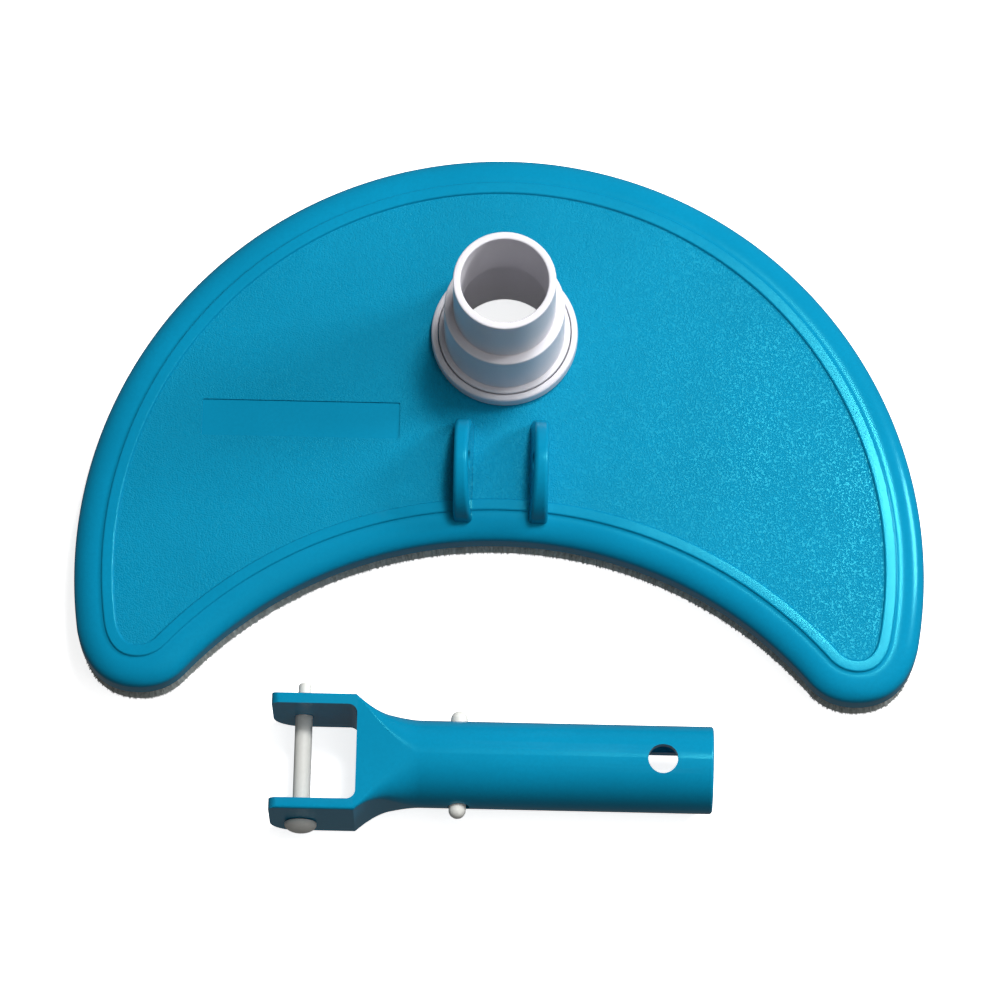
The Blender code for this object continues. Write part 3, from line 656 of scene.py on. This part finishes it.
def make_shell():
    """The plate and its wall, with the lugs, the label recess, and the bosses underneath."""
    rings = [[(x, y, z) for x, y in crescent(inset)] for inset, z in shell_section()]
    looks = (blue_smooth, blue_grained, blue_label)
    shell = add_object("shell", loft(rings, last_cap_material=looks.index(blue_grained)), looks)
    for _, side in SIDES:
        boolean(shell, lug(side), "UNION")
    pin_hole = rod(-2 * LUG_OUTER_X, 2 * LUG_OUTER_X, PIN_HOLE, HOLE_SEGMENTS, "X")
    boolean(shell, pin_hole, "DIFFERENCE", (0, LUG_Y, HEAD_TOP + LUG_PIN_HEIGHT))
    cuff_hole = rod(0, 2 * HEAD_TOP, PLATE_HOLE, BORE_SEGMENTS, "Z")
    boolean(shell, cuff_hole, "DIFFERENCE", (0, CUFF_Y, 0))
    label = rounded_rectangle(LABEL_CENTRE, LABEL_HALF, LABEL_CORNER)
    recess = prism(label, HEAD_TOP - LABEL_DEPTH, HEAD_TOP + PLATE)
    for face in recess.faces:
        face.material_index = looks.index(blue_label)
    boolean(shell, recess, "DIFFERENCE")

    def pilot():
        return rod(0, HEAD_TOP - PLATE / 3, SCREW_HOLE, PILOT_SEGMENTS, "Z")

    for _, x, y in screw_places():
        boss = rod(BRUSH_Z[1] + GAP, PLATE_UNDER + PLATE / 2, BOSS_RADIUS, BOSS_SEGMENTS, "Z")
        boolean(shell, boss, "UNION", (x, y, 0))
        boolean(shell, pilot(), "DIFFERENCE", (x, y, 0))
    for _, side in SIDES:
        for x, y in cover_tab_places(side):
            boolean(shell, pilot(), "DIFFERENCE", (x, y, 0))
    finish_edges(shell)
    place(shell, "head", "blue_plastic", "head_shell")


# ---- cuff ----
def make_cuff():
    """The hose cuff: two steps for two sizes of hose, a flange, and a neck under it."""
    lip, fine = CUFF_LIP, FINE_EDGE
    profile = quarter((UPPER_RADIUS - lip, CUFF_TOP - lip), lip, 90, 0, 4)
    profile += quarter((UPPER_RADIUS + fine, SHOULDER_Z + fine), fine, 180, 270, 3)
    profile += quarter((LOWER_RADIUS - lip, SHOULDER_Z - lip), lip, 90, 0, 4)
    profile += quarter((LOWER_RADIUS + fine, FLANGE_TOP + fine), fine, 180, 270, 3)
    profile += quarter((FLANGE_RADIUS - lip, FLANGE_TOP - lip), lip, 90, 0, 4)
    profile += [(FLANGE_RADIUS, FLANGE_UNDER), (NECK_RADIUS, FLANGE_UNDER)]
    profile += [(NECK_RADIUS, NECK_BOTTOM + fine), (NECK_RADIUS - fine, NECK_BOTTOM)]
    profile += [(LOWER_BORE + fine, NECK_BOTTOM), (LOWER_BORE, NECK_BOTTOM + fine)]
    profile += [(LOWER_BORE, SHOULDER_Z - BORE_STEP[0]), (UPPER_BORE, SHOULDER_Z - BORE_STEP[1])]
    profile += quarter((UPPER_BORE + lip, CUFF_TOP - lip), lip, 180, 90, 4)
    cuff = add_object("cuff", turned(profile, CUFF_SEGMENTS), (white_moulded,), (0, CUFF_Y, 0))
    finish_edges(cuff)
    place(cuff, "hose_cuff", "white_plastic", "hose_cuff")


def make_collar():
    """The ring round the cuff's flange."""
    foot, chamfer, r, lip = COLLAR_FOOT, COLLAR_CHAMFER, COLLAR_ROUNDING, COLLAR_LIP
    profile = [(COLLAR_INNER, foot), (COLLAR_OUTER - chamfer, foot), (COLLAR_OUTER, foot + chamfer)]
    profile += quarter((COLLAR_OUTER - r, COLLAR_TOP - COLLAR_SHOULDER), r, 0, 75, 5)
    profile += quarter((COLLAR_INNER + lip, COLLAR_TOP - lip), lip, 90, 180, 3)
    collar = add_object("collar", turned(profile, CUFF_SEGMENTS), (white_moulded,), (0, CUFF_Y, 0))
    finish_edges(collar)
    place(collar, "head", "white_plastic", "cuff_collar")


def make_seal():
    """A flat rubber ring with round edges, between the plate and the flange."""
    inner, outer = PLATE_HOLE + GAP, FLANGE_RADIUS - GAP
    middle = (COLLAR_FOOT + FLANGE_UNDER - GAP) / 2
    half = (FLANGE_UNDER - GAP - COLLAR_FOOT) / 2
    profile = quarter((outer - half, middle), half, -90, 90, 6)
    profile += quarter((inner + half, middle), half, 90, 270, 6)
    seal = add_object("seal", turned(profile, BORE_SEGMENTS), (rubber,), (0, CUFF_Y, 0))
    finish_edges(seal)
    place(seal, "head", "black_rubber", "cuff_seal")


def make_lock_ring():
    """The ring on the cuff's neck under the plate, with notches to grip it by round its rim."""
    fine, top, low = FINE_EDGE, LOCK_TOP, LOCK_TOP - LOCK_HEIGHT
    profile = [(NECK_RADIUS + GAP, low + fine), (NECK_RADIUS + GAP + fine, low),
               (LOCK_OUTER - fine, low), (LOCK_OUTER, low + fine), (LOCK_OUTER, top - fine),
               (LOCK_OUTER - fine, top), (NECK_RADIUS + GAP, top)]
    ring = add_object("lock_ring", turned(profile, BORE_SEGMENTS), (white_moulded,), (0, CUFF_Y, 0))
    for i in range(GRIPS):
        angle = 2 * math.pi * (i + 0.5) / GRIPS
        grip = rod(-PLATE, LOCK_HEIGHT - GRIP_ROOF, GRIP_RADIUS, GRIP_SEGMENTS, "Z")
        spot = (LOCK_OUTER * math.cos(angle), CUFF_Y + LOCK_OUTER * math.sin(angle), low)
        boolean(ring, grip, "DIFFERENCE", spot)
    finish_edges(ring)
    place(ring, "hose_cuff", "white_plastic", "cuff_lock_ring")


# ---- brushes ----
def front_edge(share, inset):
    """A point on the front brush, share 0 to 1 along it."""
    return front_point(FRONT_BRUSH_HALF_ANGLE * (2 * share - 1), inset)


def side_edge():
    """The same for a side brush, which runs from the back round the tip to the hollow."""
    outer = half_crescent(0.0)[0][SIDE_BRUSH_START:]
    inner = half_crescent(BRUSH_INSET[1])[0][SIDE_BRUSH_START:]
    passed = [0.0]
    for (x0, y0), (x1, y1) in zip(outer, outer[1:]):
        passed.append(passed[-1] + math.hypot(x1 - x0, y1 - y0))

    def edge(share, inset):
        along = min(max(share, 0.0), 1.0) * passed[-1]
        i = min(bisect.bisect_right(passed, along), len(passed) - 1)
        part = (along - passed[i - 1]) / (passed[i] - passed[i - 1])
        depth = inset / BRUSH_INSET[1]
        low, high = (Vector(side[i - 1]).lerp(Vector(side[i]), part) for side in (outer, inner))
        return tuple(low.lerp(high, depth))

    return edge, passed[-1]


def brush_runs():
    """Name, edge function, length, mirror side and end spill of each of the three brushes."""
    front_length = 2 * FRONT_BRUSH_HALF_ANGLE * FRONT_RADIUS
    edge, side_length = side_edge()
    return (("front", front_edge, front_length, 1, FRONT_SPILL),
            ("left", edge, side_length, -1, 0.0), ("right", edge, side_length, 1, 0.0))


def add_filament(mesh, root, tip, radius):
    """A thin three-sided filament that bends once near its root."""
    bend = root.lerp(tip, FILAMENT_BEND)
    bend.z = root.z + (tip.z - root.z) * FILAMENT_BEND_DROP
    loops = []
    for centre, size in ((root, radius), (bend, radius), (tip, FILAMENT_TAPER * radius)):
        loops.append([mesh.verts.new((centre.x + size * math.cos(t), centre.y + size * math.sin(t),
                                      centre.z)) for t in FILAMENT_CORNERS])
    for near, far in zip(loops, loops[1:]):
        for i in range(3):
            j = (i + 1) % 3
            mesh.faces.new((near[i], near[j], far[j], far[i]))
    mesh.faces.new(list(reversed(loops[0])))
    mesh.faces.new(loops[-1])


def bristle_mesh(edge, length, side, spill, draw):
    """Rows of tufts that stand under a brush base and splay out to the floor."""
    mesh = bmesh.new()
    count = round(length / TUFT_PITCH)
    margin = (TUFT_RADIUS - spill) / length
    for row, (root_inset, tip_inset) in enumerate(TUFT_ROWS):
        for i in range(count):
            share = margin + (1 - 2 * margin) * (i + 0.5 * (row % 2)) / (count - 0.5)
            for _ in range(FILAMENTS):
                turn = draw.uniform(0, 2 * math.pi)
                out = TUFT_RADIUS * math.sqrt(draw.random())
                along = out * math.cos(turn) / length
                across = out * math.sin(turn)
                fan = TUFT_FAN + draw.uniform(-TUFT_FAN_SPREAD, TUFT_FAN_SPREAD)
                rx, ry = edge(share + along, root_inset + across)
                tx, ty = edge(share + TUFT_FAN_ALONG * along,
                              max(TIP_MIN_INSET, tip_inset + fan * across))
                root = Vector((side * rx, ry, BRUSH_Z[0] + ROOT_OVERLAP))
                tip = Vector((side * tx, ty, draw.uniform(0.0, TIP_UNEVENNESS)))
                add_filament(mesh, root, tip, FILAMENT_RADIUS)
    return mesh


def swept(edge, side, section, shares):
    """A section of inset and height, carried along a brush's edge."""
    return loft([[(side * edge(t, inset)[0], edge(t, inset)[1], z) for inset, z in section]
                 for t in shares])


def make_brush_base(name, edge, side):
    """The strip that holds the bristles, chamfered all round."""
    near, far = BRUSH_INSET
    low, high = BRUSH_Z
    lip = BASE_CHAMFER
    section = [(near, low + lip), (near + lip, low), (far - lip, low), (far, low + lip),
               (far, high - lip), (far - lip, high), (near + lip, high), (near, high - lip)]
    strip = swept(edge, side, section, spread(0.0, 1.0, 120))
    base = add_object(f"brush_{name}", strip, (brush_grey,))
    for screw, x, y in screw_places():
        if screw.startswith(f"brush_screw_{name}"):
            hole = rod(0, HEAD_TOP, SCREW_HOLE, PILOT_SEGMENTS, "Z")
            boolean(base, hole, "DIFFERENCE", (x, y, 0))
    finish_edges(base)
    place(base, "head", "brush_base", f"brush_base_{name}")


def make_bristles(name, edge, length, side, spill, draw):
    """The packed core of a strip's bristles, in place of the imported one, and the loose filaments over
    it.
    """
    past_end = spill / length
    core = swept(edge, side, PACKED_SECTION, spread(-past_end, 1 + past_end, 160))
    packed = add_object(f"packed_{name}", core, (bristle,))
    finish_edges(packed)
    place(packed, "head", "bristle", f"bristles_{name}")
    filaments = bristle_mesh(edge, length, side, spill, draw)
    tufts = add_object(f"tufts_{name}", filaments, (bristle,))
    place(tufts, "head", "bristle", f"bristles_{name}")


def make_brushes():
    draw = random.Random(11)
    for name, edge, length, side, spill in brush_runs():
        make_brush_base(name, edge, side)
        make_bristles(name, edge, length, side, spill, draw)


# ---- screws ----
def crown(radius, height, under_head, flat, steps):
    """The profile of a domed head, from its small flat top to its rim."""
    return [(radius * math.sin(t), under_head - height + CROWN_RISE * height * (1 - math.cos(t)))
            for t in spread(flat, math.pi / 2, steps)]


def screw_mesh(length):
    """A pan-headed screw that points up, its head's underside at z = 0."""
    r, h = SCREW_HEAD_RADIUS, SCREW_HEAD_HEIGHT
    root = THREAD_ROOT * SCREW_RADIUS
    profile = crown(r, h, 0.0, SCREW_CROWN_FLAT, 8)
    profile += [(r, -SCREW_HEAD_RIM * h), (SCREW_HEAD_UNDER * r, 0.0), (SCREW_RADIUS, 0.0)]
    z = THREAD_PITCH
    while z < length - SCREW_POINT:
        profile += [(root, z), (SCREW_RADIUS, z + THREAD_PITCH / 2)]
        z += THREAD_PITCH
    profile += [(root, z), (SCREW_TIP * SCREW_RADIUS, length)]
    return spindle(profile, SCREW_SEGMENTS)


def screw_spots():
    """Name, place of the head's underside, and length of every screw."""
    spots = [(name, x, y, BRUSH_Z[0] - GAP, SCREW_LENGTH) for name, x, y in screw_places()]
    under_tab = PLATE_UNDER - 2 * GAP - COVER_TAB_THICKNESS
    for side_name, side in SIDES:
        for number, (x, y) in enumerate(cover_tab_places(side), start=1):
            spots.append((f"cover_screw_{side_name}_{number}", x, y, under_tab, COVER_SCREW_LENGTH))
    return spots


def make_screws():
    """Each screw, with its cross recess turned a little further than the last one's."""
    recess_top = (RECESS_DEPTH - 1) * SCREW_HEAD_HEIGHT
    for index, (name, x, y, z, length) in enumerate(screw_spots()):
        screw = add_object(f"{name}_steel", screw_mesh(length), (steel,), (x, y, z))
        for quarter_turn in (0, math.pi / 2):
            angle = SCREW_TURN * index + quarter_turn
            c, s = math.cos(angle), math.sin(angle)
            slot = [(c * u - s * v, s * u + c * v)
                    for u, v in rounded_rectangle((0, 0), RECESS_HALF, RECESS_ROUNDING, 2)]
            cut = prism(slot, -2 * SCREW_HEAD_HEIGHT, recess_top)
            boolean(screw, cut, "DIFFERENCE", (x, y, z))
        finish_edges(screw)
        place(screw, "head", "screw_steel", name)


# ---- ballast ----
def sector(side, inset, steps=40):
    """The outline of a ballast cover seen from above, moved inward by inset."""
    low, high = COVER_RADII[0] + inset, COVER_RADII[1] - inset
    turn = inset / (sum(COVER_RADII) / 2)
    angles = spread(COVER_ANGLES[0] + turn, COVER_ANGLES[1] - turn, steps)
    outer = [(side * high * math.cos(t), high * math.sin(t)) for t in angles]
    inner = [(side * low * math.cos(t), low * math.sin(t)) for t in angles]
    return outer + inner[::-1]


def sector_block(side, levels):
    """A block with the sector's outline, moved inward by each level's inset at its height."""
    return loft([[(x, y, z) for x, y in sector(side, inset)] for inset, z in levels])


def make_weight(name, side):
    """A cast iron weight with softened edges, which lies in its cover."""
    inset = COVER_WALL + WEIGHT_CLEARANCE
    low, top, soft = COVER_BOTTOM + COVER_WALL + GAP, BALLAST_TOP, BALLAST_EDGE
    levels = ((inset + soft, low), (inset, low + soft), (inset, top - soft), (inset + soft, top))
    weight = add_object(f"weight_{name}", sector_block(side, levels), (iron,))
    finish_edges(weight)
    place(weight, "head", "ballast_iron", f"ballast_{name}")


def make_cover(name, side):
    """The tray that holds a weight under the plate, with a screw tab at each end."""
    low, top, soft = COVER_BOTTOM, BALLAST_TOP, BALLAST_EDGE
    levels = ((soft, low), (0.35 * soft, low + 0.35 * soft), (0.0, low + soft), (0.0, top))
    cover = add_object(f"cover_{name}", sector_block(side, levels), (blue_satin,))
    tab_low = top - COVER_TAB_THICKNESS
    for x, y in cover_tab_places(side):
        tab = rod(tab_low, top, COVER_TAB_RADIUS, HOLE_SEGMENTS, "Z")
        boolean(cover, tab, "UNION", (x, y, 0))
        hole = rod(tab_low - PLATE, HEAD_TOP, SCREW_HOLE, PILOT_SEGMENTS, "Z")
        boolean(cover, hole, "DIFFERENCE", (x, y, 0))
    pocket = prism(sector(side, COVER_WALL), low + COVER_WALL, HEAD_TOP)
    boolean(cover, pocket, "DIFFERENCE")
    finish_edges(cover)
    place(cover, "head", "cover_plastic", f"ballast_cover_{name}")


def make_ballast():
    for name, side in SIDES:
        make_weight(name, side)
        make_cover(name, side)


# ---- handle ----
def handle_ring(x, half_width, half_height, radius):
    """The handle's section at x: a rectangle whose corners are rounded by radius."""
    corners = rounded_rectangle((0, TUBE_AXIS_Z), (half_width, half_height), radius, SECTION_STEPS)
    return [(x, y, z) for y, z in corners]


def handle_rings():
    """Sections from the fork's square end, through the waisted neck, to the round tube."""
    flush = TUBE_RADIUS - NEARLY_ROUND
    rings = [handle_ring(EAR_END, FORK_HALF_WIDTH, TUBE_RADIUS, FORK_CORNER)]
    for x in spread(NECK_START, FLAT_END, 30):
        down = max(0.0, (NECK_END - x) / (NECK_END - NECK_START))
        half_width = TUBE_RADIUS + (FORK_HALF_WIDTH - TUBE_RADIUS) * down**2
        t = (x - NECK_START) / (FLAT_END - NECK_START)
        radius = FORK_CORNER + (flush - FORK_CORNER) * t * t * (3 - 2 * t)
        rings.append(handle_ring(x, half_width, TUBE_RADIUS, radius))
    for t in spread(0.0, math.pi / 2, 5):
        size = TUBE_RADIUS - TUBE_END_ROUNDING * (1 - math.cos(t))
        x = TUBE_END - TUBE_END_ROUNDING * (1 - math.sin(t))
        rings.append(handle_ring(x, size, size, size - NEARLY_ROUND))
    return rings


def upright(mesh):
    """Turns a prism drawn in x and y so that its outline lies in x and z."""
    for vert in mesh.verts:
        vert.co = (vert.co.x, -vert.co.z, vert.co.y)
    return mesh


def ear_corner_cutter(radius, up):
    """A cutter that rounds the top (up = 1) or lower (up = -1) corner of the fork's ears."""
    edge = TUBE_AXIS_Z + up * TUBE_RADIUS
    centre = (EAR_END + radius, edge - up * radius)
    reach = radius + CUTTER_OVERLAP
    arc = [(centre[0] - reach * math.cos(t), centre[1] + up * reach * math.sin(t))
           for t in spread(0.0, math.pi / 2, 20)]
    past_end, past_edge = EAR_END - CUTTER_MARGIN, edge + up * CUTTER_MARGIN
    outside = [(arc[-1][0], past_edge), (past_end, past_edge), (past_end, arc[0][1])]
    return upright(prism(arc + outside, -2 * FORK_HALF_WIDTH, 2 * FORK_HALF_WIDTH))


def fork_slot():
    """A cutter for the gap between the ears, with round inner corners."""
    half = FORK_GAP / 2
    points = [(2 * EAR_END, -half), (2 * EAR_END, half)]
    for sign, angles in ((1, spread(math.pi / 2, 0.0, 12)), (-1, spread(0.0, math.pi / 2, 12))):
        for t in angles:
            x = WEB_FACE - WEB_CORNER * (1 - math.cos(t))
            points.append((x, sign * (half - WEB_CORNER * (1 - math.sin(t)))))
    return prism(points, -2 * TUBE_RADIUS, 3 * TUBE_RADIUS)


def make_handle():
    """The fork, neck and tube in one, with the pin, button and cross holes and a window below."""
    handle = add_object("swing_handle", loft(handle_rings()), (blue_smooth,), PIN_CENTRE)
    x, y, z = PIN_CENTRE
    axis = (x, y, z + TUBE_AXIS_Z)
    wide = 2 * FORK_HALF_WIDTH
    middle = (WINDOW[0] + WINDOW[1]) / 2
    window = rounded_rectangle((middle, 0), (middle - WINDOW[0], WINDOW_HALF_WIDTH), WINDOW_CORNER)
    cuts = (
        (fork_slot(), PIN_CENTRE),
        (ear_corner_cutter(EAR_LOWER_CORNER, -1), PIN_CENTRE),
        (ear_corner_cutter(EAR_TOP_CORNER, 1), PIN_CENTRE),
        (rod(BORE_START, 2 * TUBE_END, TUBE_BORE, BORE_SEGMENTS, "X"), axis),
        (prism(window, -2 * TUBE_RADIUS, -WINDOW_ROOF), axis),
        (rod(-wide, wide, PIN_HOLE, HOLE_SEGMENTS, "Y"), PIN_CENTRE),
        (rod(-wide, wide, BUTTON_HOLE, HOLE_SEGMENTS, "Y"), (x + BUTTON_HOLE_X, y, axis[2])),
        (rod(0, 2 * TUBE_RADIUS, CROSS_HOLE_RADIUS, PIN_SEGMENTS, "Z"), (x + CROSS_HOLE_X, y, axis[2])),
    )
    for cutter, spot in cuts:
        boolean(handle, cutter, "DIFFERENCE", spot)
    finish_edges(handle, bevel=HANDLE_BEVEL)
    place(handle, "handle", "blue_plastic", "handle")


def make_pin():
    """The hinge pin: a mushroom head on the near side and a narrowed tip on the far side."""
    under_head = -FORK_HALF_WIDTH - GAP
    tip = FORK_HALF_WIDTH + PIN_TIP
    r, h = PIN_HEAD_RADIUS, PIN_HEAD_HEIGHT
    profile = crown(r, h, under_head, PIN_CROWN_FLAT, 10)
    profile += [(r, under_head - PIN_HEAD_EDGE), (PIN_HEAD_UNDER * r, under_head)]
    profile += [(PIN_RADIUS, under_head)]
    profile += [(share * PIN_RADIUS, tip - back) for share, back in PIN_TIP_PROFILE]
    pin = add_object("pin", spindle(profile, PIN_SEGMENTS, "Y"), (nylon,), PIN_CENTRE)
    finish_edges(pin)
    place(pin, "hinge_pin", "nylon_white", "hinge_pin")


def make_clip_bend():
    """The clip's half ring, which joins its two arms inside the tube."""
    x, y, z = PIN_CENTRE
    inner = CLIP_RADIUS - CLIP_THICKNESS
    turn = spread(math.pi / 2, 3 * math.pi / 2, 48)
    outline = [(CLIP_RADIUS * math.cos(t), CLIP_RADIUS * math.sin(t)) for t in turn]
    outline += [(inner * math.cos(t), inner * math.sin(t)) for t in reversed(turn)]
    half_ring = prism(outline, -CLIP_HALF_HEIGHT, CLIP_HALF_HEIGHT)
    centre = (x + CLIP_PIVOT_X - GAP, y, z + TUBE_AXIS_Z)
    bend = add_object("spring_bend", half_ring, (nylon,), centre)
    finish_edges(bend, bevel=BEND_BEVEL)
    place(bend, "handle", "nylon_white", "clip_bend")


def make_clip_arm(name, side):
    """A flat spring arm along one wall of the tube, with a domed button through the wall."""
    x, y, z = PIN_CENTRE
    axis_z = z + TUBE_AXIS_Z
    pivot_y = CLIP_RADIUS - CLIP_THICKNESS / 2
    reach = CLIP_ARM_END - CLIP_PIVOT_X
    thin = CLIP_THICKNESS / 2
    blade = rounded_rectangle((reach / 2, 0), (reach / 2, CLIP_HALF_HEIGHT), CLIP_CORNER)
    spot = (x + CLIP_PIVOT_X, y + side * pivot_y, axis_z)
    arm = add_object(f"spring_arm_{name}", upright(prism(blade, -thin, thin)), (nylon,), spot)
    tip = BUTTON_TIP - pivot_y
    profile = [(BUTTON_RADIUS, 0.0)]
    profile += [(BUTTON_RADIUS * math.cos(t), side * (tip - BUTTON_RADIUS * (1 - math.sin(t))))
                for t in spread(0.0, BUTTON_DOME, 10)]
    button = spindle(profile, HOLE_SEGMENTS, "Y")
    boolean(arm, button, "UNION", (x + BUTTON_X, spot[1], axis_z))
    finish_edges(arm, bevel=ARM_BEVEL)
    place(arm, f"clip_arm_{name}", "nylon_white", f"clip_arm_{name}")


# ---- floor, light and camera ----
def make_stage():
    """A plain white floor that glows by itself, but neither lights nor shows in the object."""
    mesh = bmesh.new()
    corners = [mesh.verts.new((u * FLOOR_REACH, v * FLOOR_REACH, FLOOR_Z))
               for u, v in ((-1, -1), (1, -1), (1, 1), (-1, 1))]
    mesh.faces.new(corners)
    graph = Graph("pale_floor")
    cloud = graph.remap(graph.noise(3.0), 0.3, 0.7, 0.0, 1.0)
    graph.surface("Base Color", graph.mix(cloud, (0.93, 0.93, 0.93, 1), (0.95, 0.95, 0.95, 1)))
    graph.surface("Roughness", 0.9)
    graph.surface("Emission Color", (1.0, 1.0, 1.0, 1.0))
    graph.surface("Emission Strength", FLOOR_GLOW)
    floor = add_object("floor", mesh, (graph.material,))
    floor.visible_diffuse = floor.visible_glossy = floor.visible_shadow = False


def add_light(name, azimuth, elevation, distance, size, power):
    """A square soft light aimed at the object; azimuth 0 is +X and 90 is +Y."""
    data = bpy.data.lights.new(name, "AREA")
    data.shape = "SQUARE"
    data.size = size
    data.energy = power
    lamp = bpy.data.objects.new(name, data)
    a, e = math.radians(azimuth), math.radians(elevation)
    away = Vector((math.cos(a) * math.cos(e), math.sin(a) * math.cos(e), math.sin(e)))
    lamp.location = TARGET + away * distance
    lamp.rotation_mode = "QUATERNION"
    lamp.rotation_quaternion = away.to_track_quat("Z", "Y")
    bpy.context.scene.collection.objects.link(lamp)
    return lamp


def make_lights():
    """Two lamps for the colours, two that also make the highlights, and a faint sky."""
    key = add_light("key", *KEY)
    overhead = add_light("overhead", *OVERHEAD)
    key.visible_glossy = overhead.visible_glossy = False
    add_light("sheen", *SHEEN)
    add_light("window", *WINDOW_LIGHT)
    world = bpy.data.worlds.new("studio")
    world.use_nodes = True
    sky = world.node_tree.nodes["Background"]
    sky.inputs["Strength"].default_value = SKY_STRENGTH
    sky.inputs["Color"].default_value = (1.0, 1.0, 1.0, 1.0)
    bpy.context.scene.world = world
    bpy.context.scene.view_settings.view_transform = "Standard"


def make_camera():
    """Looks steeply down from the hollow side of the head, and a little from the right."""
    data = bpy.data.cameras.new("camera")
    data.lens = CAMERA_LENS
    data.sensor_width = SENSOR_WIDTH
    data.clip_start, data.clip_end = 0.1, 30.0
    camera = bpy.data.objects.new("camera", data)
    e = CAMERA_ELEVATION
    away = Vector((math.sin(CAMERA_TURN) * math.cos(e), -math.cos(CAMERA_TURN) * math.cos(e),
                   math.sin(e)))
    camera.location = TARGET + away * CAMERA_DISTANCE
    camera.rotation_mode = "QUATERNION"
    camera.rotation_quaternion = away.to_track_quat("Z", "Y")
    bpy.context.scene.collection.objects.link(camera)
    bpy.context.scene.camera = camera


make_stage()
make_lights()
make_camera()
make_shell()
make_cuff()
make_collar()
make_seal()
make_lock_ring()
make_brushes()
make_screws()
make_ballast()
make_handle()
make_pin()
make_clip_bend()
make_clip_arm("near", -1)
make_clip_arm("far", 1)
